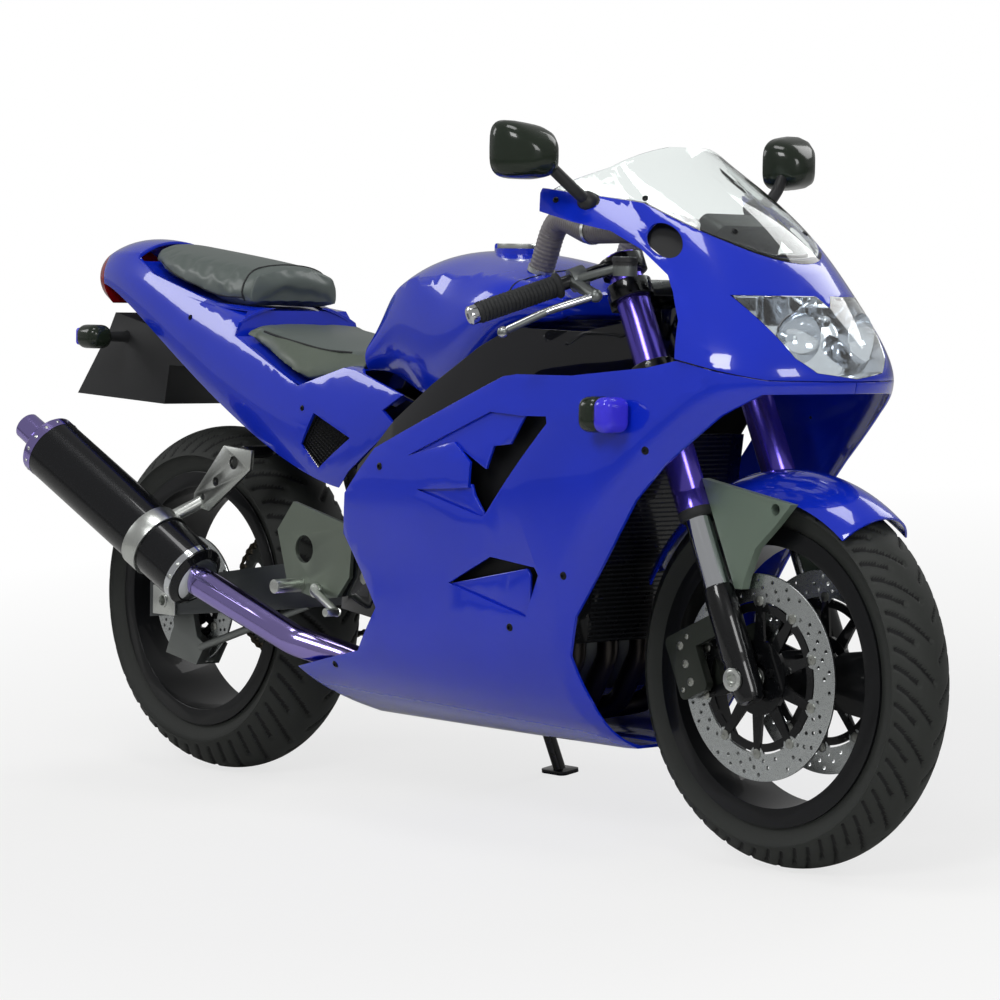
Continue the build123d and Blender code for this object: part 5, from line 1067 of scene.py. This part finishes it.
class BuildMeshes(bpy.types.Operator):
    """Expanded mesh in the tail's vents, and dark sheets of painted shade behind the openings of the panels"""
    bl_idname = "bike.meshes"
    bl_label = "Vent meshes"

    def execute(self, context):
        tail_vent = [(453, 684), (572, 636), (462, 567), (404, 618)]
        # name, node, corners round the opening in order, millimetres inwards, wired or not
        table = [("tail_mesh", "tail_cowl", tail_vent, 7, True),
                 # dark sheet behind the tail's mesh: painted shade inside the vent
                 ("tail_shade_sheet", "tail_cowl", tail_vent, 13, False),
                 # dark sheets behind the fairing's slot and louvres: painted shade inside the openings
                 ("slot_shade_sheet", "fairing_{}", [(788, 612), (996, 710), (1134, 700), (985, 515)], 30, False),
                 ("louvre_shade_sheet", "fairing_{}",
                  [(870, 482), (1110, 474), (1084, 350), (872, 392)], 30, False),
                 # dark plate behind the cowl's intake: the duct there, its black partly painted shade inside it
                 ("intake_duct_shade", "upper_cowl",
                  [(1262, 1008), (1334, 966), (1310, 924), (1238, 972)], 22, False)]
        cells = 15
        shares = [i / cells for i in range(cells + 1)]
        for name, node, corners, inward, wire in table:
            for side, hand in sides:
                a, b, c, d = [on_surface(node.format(hand), x, z, side)[0] for x, z in corners]
                points = [a.lerp(b, s).lerp(d.lerp(c, s), t) - leftward * side * inward
                          for s in shares for t in shares]
                piece = drawn(f"{name}_{hand}", points, faces=skin(cells + 1, cells + 1, shut=False))
                if wire:
                    apply(piece, "WIREFRAME", thickness=2.6, use_even_offset=False)
                else:
                    apply(piece, "SOLIDIFY", thickness=1.5)
                # the tail mesh and the sheets of painted shade take the same black
                parked(piece, "black_mesh_and_shade")
        # trim plates over the frame's ends above the swingarm
        outline = [(700, 690), (640, 700), (500, 640), (462, 590), (500, 500), (566, 452), (640, 440),
                   (700, 500)]
        for side, hand in sides:
            parked(plate(f"frame_trim_{hand}", outline, side * 122, side * 126, edge=1.5), "frame_paint")
        return {"FINISHED"}


class BuildDials(bpy.types.Operator):
    """Three round dials on the instrument panel"""
    bl_idname = "bike.dials"
    bl_label = "Dials"

    def execute(self, context):
        tilt, first_mark, mark_step, pointer = radians(24.5), 225, 27, 200
        facing = Vector((-cos(tilt), 0, sin(tilt)))
        upward = Vector((sin(tilt), 0, cos(tilt)))

        def out_at(degrees):
            return leftward * cos(radians(degrees)) + upward * sin(radians(degrees))

        for k, (across, rise, radius) in enumerate(((0, 2, 31), (-50, -2, 20), (50, -2, 20))):
            spot = Vector((1290, across, 966)) + facing * 23 + upward * rise
            rim = radius - 3
            turned(f"dial_ring_{k}", [(-2, rim), (-2, radius), (3, radius), (4, radius - 1.5), (1, rim),
                                      (-2, rim)], spot, spot + facing, 48, "polished_alloy")
            turned(f"dial_face_{k}", rod(-2, 0.6, rim), spot, spot + facing, 40, "dial_glass")
            marks = []
            for i in range(11):
                out = out_at(first_mark - mark_step * i)
                start = spot + facing * 0.9 + out * (radius - 9)
                marks.append(tubed("mark", [start, start + out * 4.5], 0.5, resolution=1, smooth=False))
            start = spot + facing * 1.2
            marks.append(tubed("pointer", [start, start + out_at(pointer) * (radius - 8)], 0.7, resolution=1,
                               smooth=False))
            parked(joined(f"dial_marks_{k}", marks), "dial_white")
        return {"FINISHED"}


def bent_path(knots, bend, arc_steps=8):
    """Points along straight runs between knots, with round bends at the inner ones."""
    path = [knots[0]]
    for before, corner, after in zip(knots, knots[1:], knots[2:]):
        into, out = (before - corner).normalized(), (after - corner).normalized()
        half = into.angle(out) / 2
        middle = corner + (into + out).normalized() * (bend / sin(half))
        first, last = [corner + way * (bend / abs(tan(half))) - middle for way in (into, out)]
        path += [middle + first.lerp(last, i / arc_steps).normalized() * bend for i in range(arc_steps + 1)]
    return path + [knots[-1]]


class BuildHoses(bpy.types.Operator):
    """Ribbed air hoses with their clamps"""
    bl_idname = "bike.hoses"
    bl_label = "Air hoses"

    def execute(self, context):
        corners, bend = [(1215, 150, 985), (1080, 122, 984), (975, 92, 1012), (930, 92, 905)], 45
        count, ring_gap, rib_pitch, rib_height, valley = 28, 1.4, 7, 0.8, 20.2
        for side, hand in sides:
            path = bent_path([Vector((x, side * y, z)) for x, y, z in corners], bend)
            dense = []
            for a, b in zip(path, path[1:]):
                steps = max(1, round((b - a).length / ring_gap))
                dense += [a.lerp(b, i / steps) for i in range(steps)]
            dense.append(path[-1])
            points, run = [], 0
            ahead = (dense[1] - dense[0]).normalized()
            normal = ahead.orthogonal().normalized()
            for i, spot in enumerate(dense):
                if i:
                    run += (spot - dense[i - 1]).length
                    ahead = (dense[min(i + 1, len(dense) - 1)] - dense[i - 1]).normalized()
                    normal = (normal - ahead * normal.dot(ahead)).normalized()
                cross = ahead.cross(normal)
                radius = valley + rib_height * (0.5 + 0.5 * cos(2 * pi * run / rib_pitch))
                points += [spot + (normal * cos(t) + cross * sin(t)) * radius for t in angles(count)]
            hose = drawn(f"air_hose_{hand}", points, faces=capped_skin(len(dense), count))
            tidy(hose)
            parked(hose, "hose_silicone", nodes=["air_hoses"] if side < 0 else (), angle=40)
            for k, share in enumerate((0.36, 0.955)):
                i = int(share * (len(dense) - 2))
                turned(f"hose_clamp_{hand}_{k}", [(-4, 21), (-4, 22.4), (4, 22.4), (4, 21)], dense[i],
                       dense[i + 1], 40, "brushed_alloy")
        return {"FINISHED"}


class BuildRadiator(bpy.types.Operator):
    """Radiator with its fins and tanks"""
    bl_idname = "bike.radiator"
    bl_label = "Radiator"

    def execute(self, context):
        dressed("radiator", "black_enamel", 0.002)
        low, high = Vector((1108, 0, 330)), Vector((1152, 0, 660))
        up = (high - low).normalized()
        ahead = Vector((up.z, 0, -up.x))
        fin_size, fin_count, set_back = (3.4, 272, 2.6), 44, 0.7
        lying = Matrix((ahead, leftward, up)).transposed().to_4x4()
        fins = []
        for k in range(fin_count):
            fin = block("fin", fin_size, (0, 0, 0))
            fin.data.transform(Matrix.Translation(low.lerp(high, (k + 0.5) / fin_count) - ahead * set_back)
                               @ lying)
            fins.append(fin)
        parked(joined("radiator_fins", fins), "radiator_core")
        return {"FINISHED"}


class BuildStage(bpy.types.Operator):
    """Pale floor, soft lamps and the camera"""
    bl_idname = "bike.stage"
    bl_label = "Stage"

    def execute(self, context):
        bpy.ops.object.select_all(action="DESELECT")
        bpy.ops.mesh.primitive_grid_add(x_subdivisions=12, y_subdivisions=12, size=160, location=(0, 0, 0))
        floor = bpy.context.view_layer.objects.active
        floor.name = "floor"
        # Matt painted board: pale and even, it shows white to the camera and keeps the shadow
        material = bpy.data.materials.new("matt_board")
        material.use_nodes = True
        tree = material.node_tree
        shader = tree.nodes["Principled BSDF"]
        wired(tree, shader, {"Base Color": (*linear("CDCDCB"), 1), "Roughness": 0.9,
                             "Specular IOR Level": 0.1})
        white = add_node(tree, "ShaderNodeEmission", {"Color": (1, 1, 1, 1), "Strength": 1.0})
        path = add_node(tree, "ShaderNodeLightPath").outputs
        seen = add_node(tree, "ShaderNodeMath", {"operation": "MAXIMUM"},
                        {0: path["Is Camera Ray"], 1: path["Is Transmission Ray"]})
        # near the bike the board keeps its shadow, and further off it fades to plain white
        place = add_node(tree, "ShaderNodeTexCoord")
        reach = add_node(tree, "ShaderNodeVectorMath", {"operation": "LENGTH"},
                         {"Vector": place.outputs["Object"]})
        whiteness = add_node(tree, "ShaderNodeMapRange",
                             {"From Min": 0.9, "From Max": 3.2, "To Min": 0.74, "To Max": 1.0},
                             {"Value": reach.outputs["Value"]})
        part = add_node(tree, "ShaderNodeMath", {"operation": "MULTIPLY"},
                        {0: seen.outputs[0], 1: whiteness.outputs["Result"]})
        mix = add_node(tree, "ShaderNodeMixShader", None,
                       {0: part.outputs[0], 1: shader.outputs[0], 2: white.outputs[0]})
        tree.links.new(mix.outputs[0], tree.nodes["Material Output"].inputs["Surface"])
        floor.data.materials.append(material)
        target = Vector((0, 0, 0.5))
        # soft lamps: place, size, power
        for name, place, size, power in (
                ("key", (1.8, -4.2, 4.4), 1.5, 105), ("front", (5.2, -1.2, 2.6), 1.4, 60),
                ("rear", (-4.5, -2.5, 3.4), 1.8, 50), ("far", (0.5, 4.5, 3.6), 2.4, 60),
                ("top", (0.2, -0.6, 5.2), 1.6, 60)):
            data = bpy.data.lights.new(name, "AREA")
            data.energy = power
            data.size = size
            lamp = shown(name, data)
            lamp.location = place
            lamp.rotation_euler = (target - Vector(place)).to_track_quat("-Z", "Y").to_euler()
        world = bpy.data.worlds.new("studio")
        context.scene.world = world
        world.use_nodes = True
        tree = world.node_tree
        path = add_node(tree, "ShaderNodeLightPath").outputs
        # strength for diffuse light, then for reflections, then for what the camera and glass see
        lit = add_node(tree, "ShaderNodeMix", {"data_type": "FLOAT", 2: 0.30, 3: 0.34},
                       {"Factor": path["Is Glossy Ray"]})
        direct = add_node(tree, "ShaderNodeMath", {"operation": "MAXIMUM"},
                          {0: path["Is Camera Ray"], 1: path["Is Transmission Ray"]})
        final = add_node(tree, "ShaderNodeMix", {"data_type": "FLOAT", 3: 1.0},
                         {"Factor": direct.outputs[0], 2: lit.outputs[0]})
        wired(tree, tree.nodes["Background"], {"Color": (*linear("FFFFFF"), 1)},
              {"Strength": final.outputs[0]})
        data = bpy.data.cameras.new("camera")
        camera = shown("camera", data)
        spot = Vector((4.607, -3.974, 1.437))
        yaw, pitch, roll = radians(139.05), radians(-8.6), radians(-5.12)
        forward = Vector((cos(yaw) * cos(pitch), sin(yaw) * cos(pitch), sin(pitch)))
        level = forward.cross(skyward).normalized()
        upward = level.cross(forward)
        right = level * cos(roll) + upward * sin(roll)
        up = upward * cos(roll) - level * sin(roll)
        camera.matrix_world = (Matrix.Translation(spot)
                               @ Matrix((right, up, -forward)).transposed().to_4x4())
        data.lens = 129.5
        data.sensor_width = 36
        data.clip_end = 400
        context.scene.camera = camera
        context.scene.view_settings.view_transform = "Standard"
        return {"FINISHED"}


class BikePanel(bpy.types.Panel):
    """Lists the sizes, the colours and the steps"""
    bl_idname = "VIEW3D_PT_sport_bike"
    bl_label = "Sport bike"
    bl_space_type = "VIEW_3D"
    bl_region_type = "UI"
    bl_category = "Sport bike"

    def draw(self, context):
        for group in (context.scene.bike_sizes, context.scene.bike_colours):
            for name in group.__annotations__:
                self.layout.prop(group, name)
        for step in steps:
            self.layout.operator(step.bl_idname)


steps = [BuildTyres, BuildWheels, BuildDiscs, BuildDrive, BuildFork, BuildBars, BuildChassis,
         BuildExhaust, BuildPanels, BuildScrews, BuildLamps, BuildMirrors, BuildSeats, BuildMeshes,
         BuildDials, BuildHoses, BuildRadiator, BuildStage]


def register():
    for kind in (BikeColours, BikeSizes, *steps, BikePanel):
        bpy.utils.register_class(kind)
    bpy.types.Scene.bike_colours = PointerProperty(type=BikeColours)
    bpy.types.Scene.bike_sizes = PointerProperty(type=BikeSizes)


def unregister():
    del bpy.types.Scene.bike_sizes
    del bpy.types.Scene.bike_colours
    for kind in (BikePanel, *reversed(steps), BikeSizes, BikeColours):
        bpy.utils.unregister_class(kind)


def main():
    """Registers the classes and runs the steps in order."""
    register()
    for step in steps:
        group, name = step.bl_idname.split(".")
        getattr(getattr(bpy.ops, group), name)()


if __name__ == "__main__":
    main()
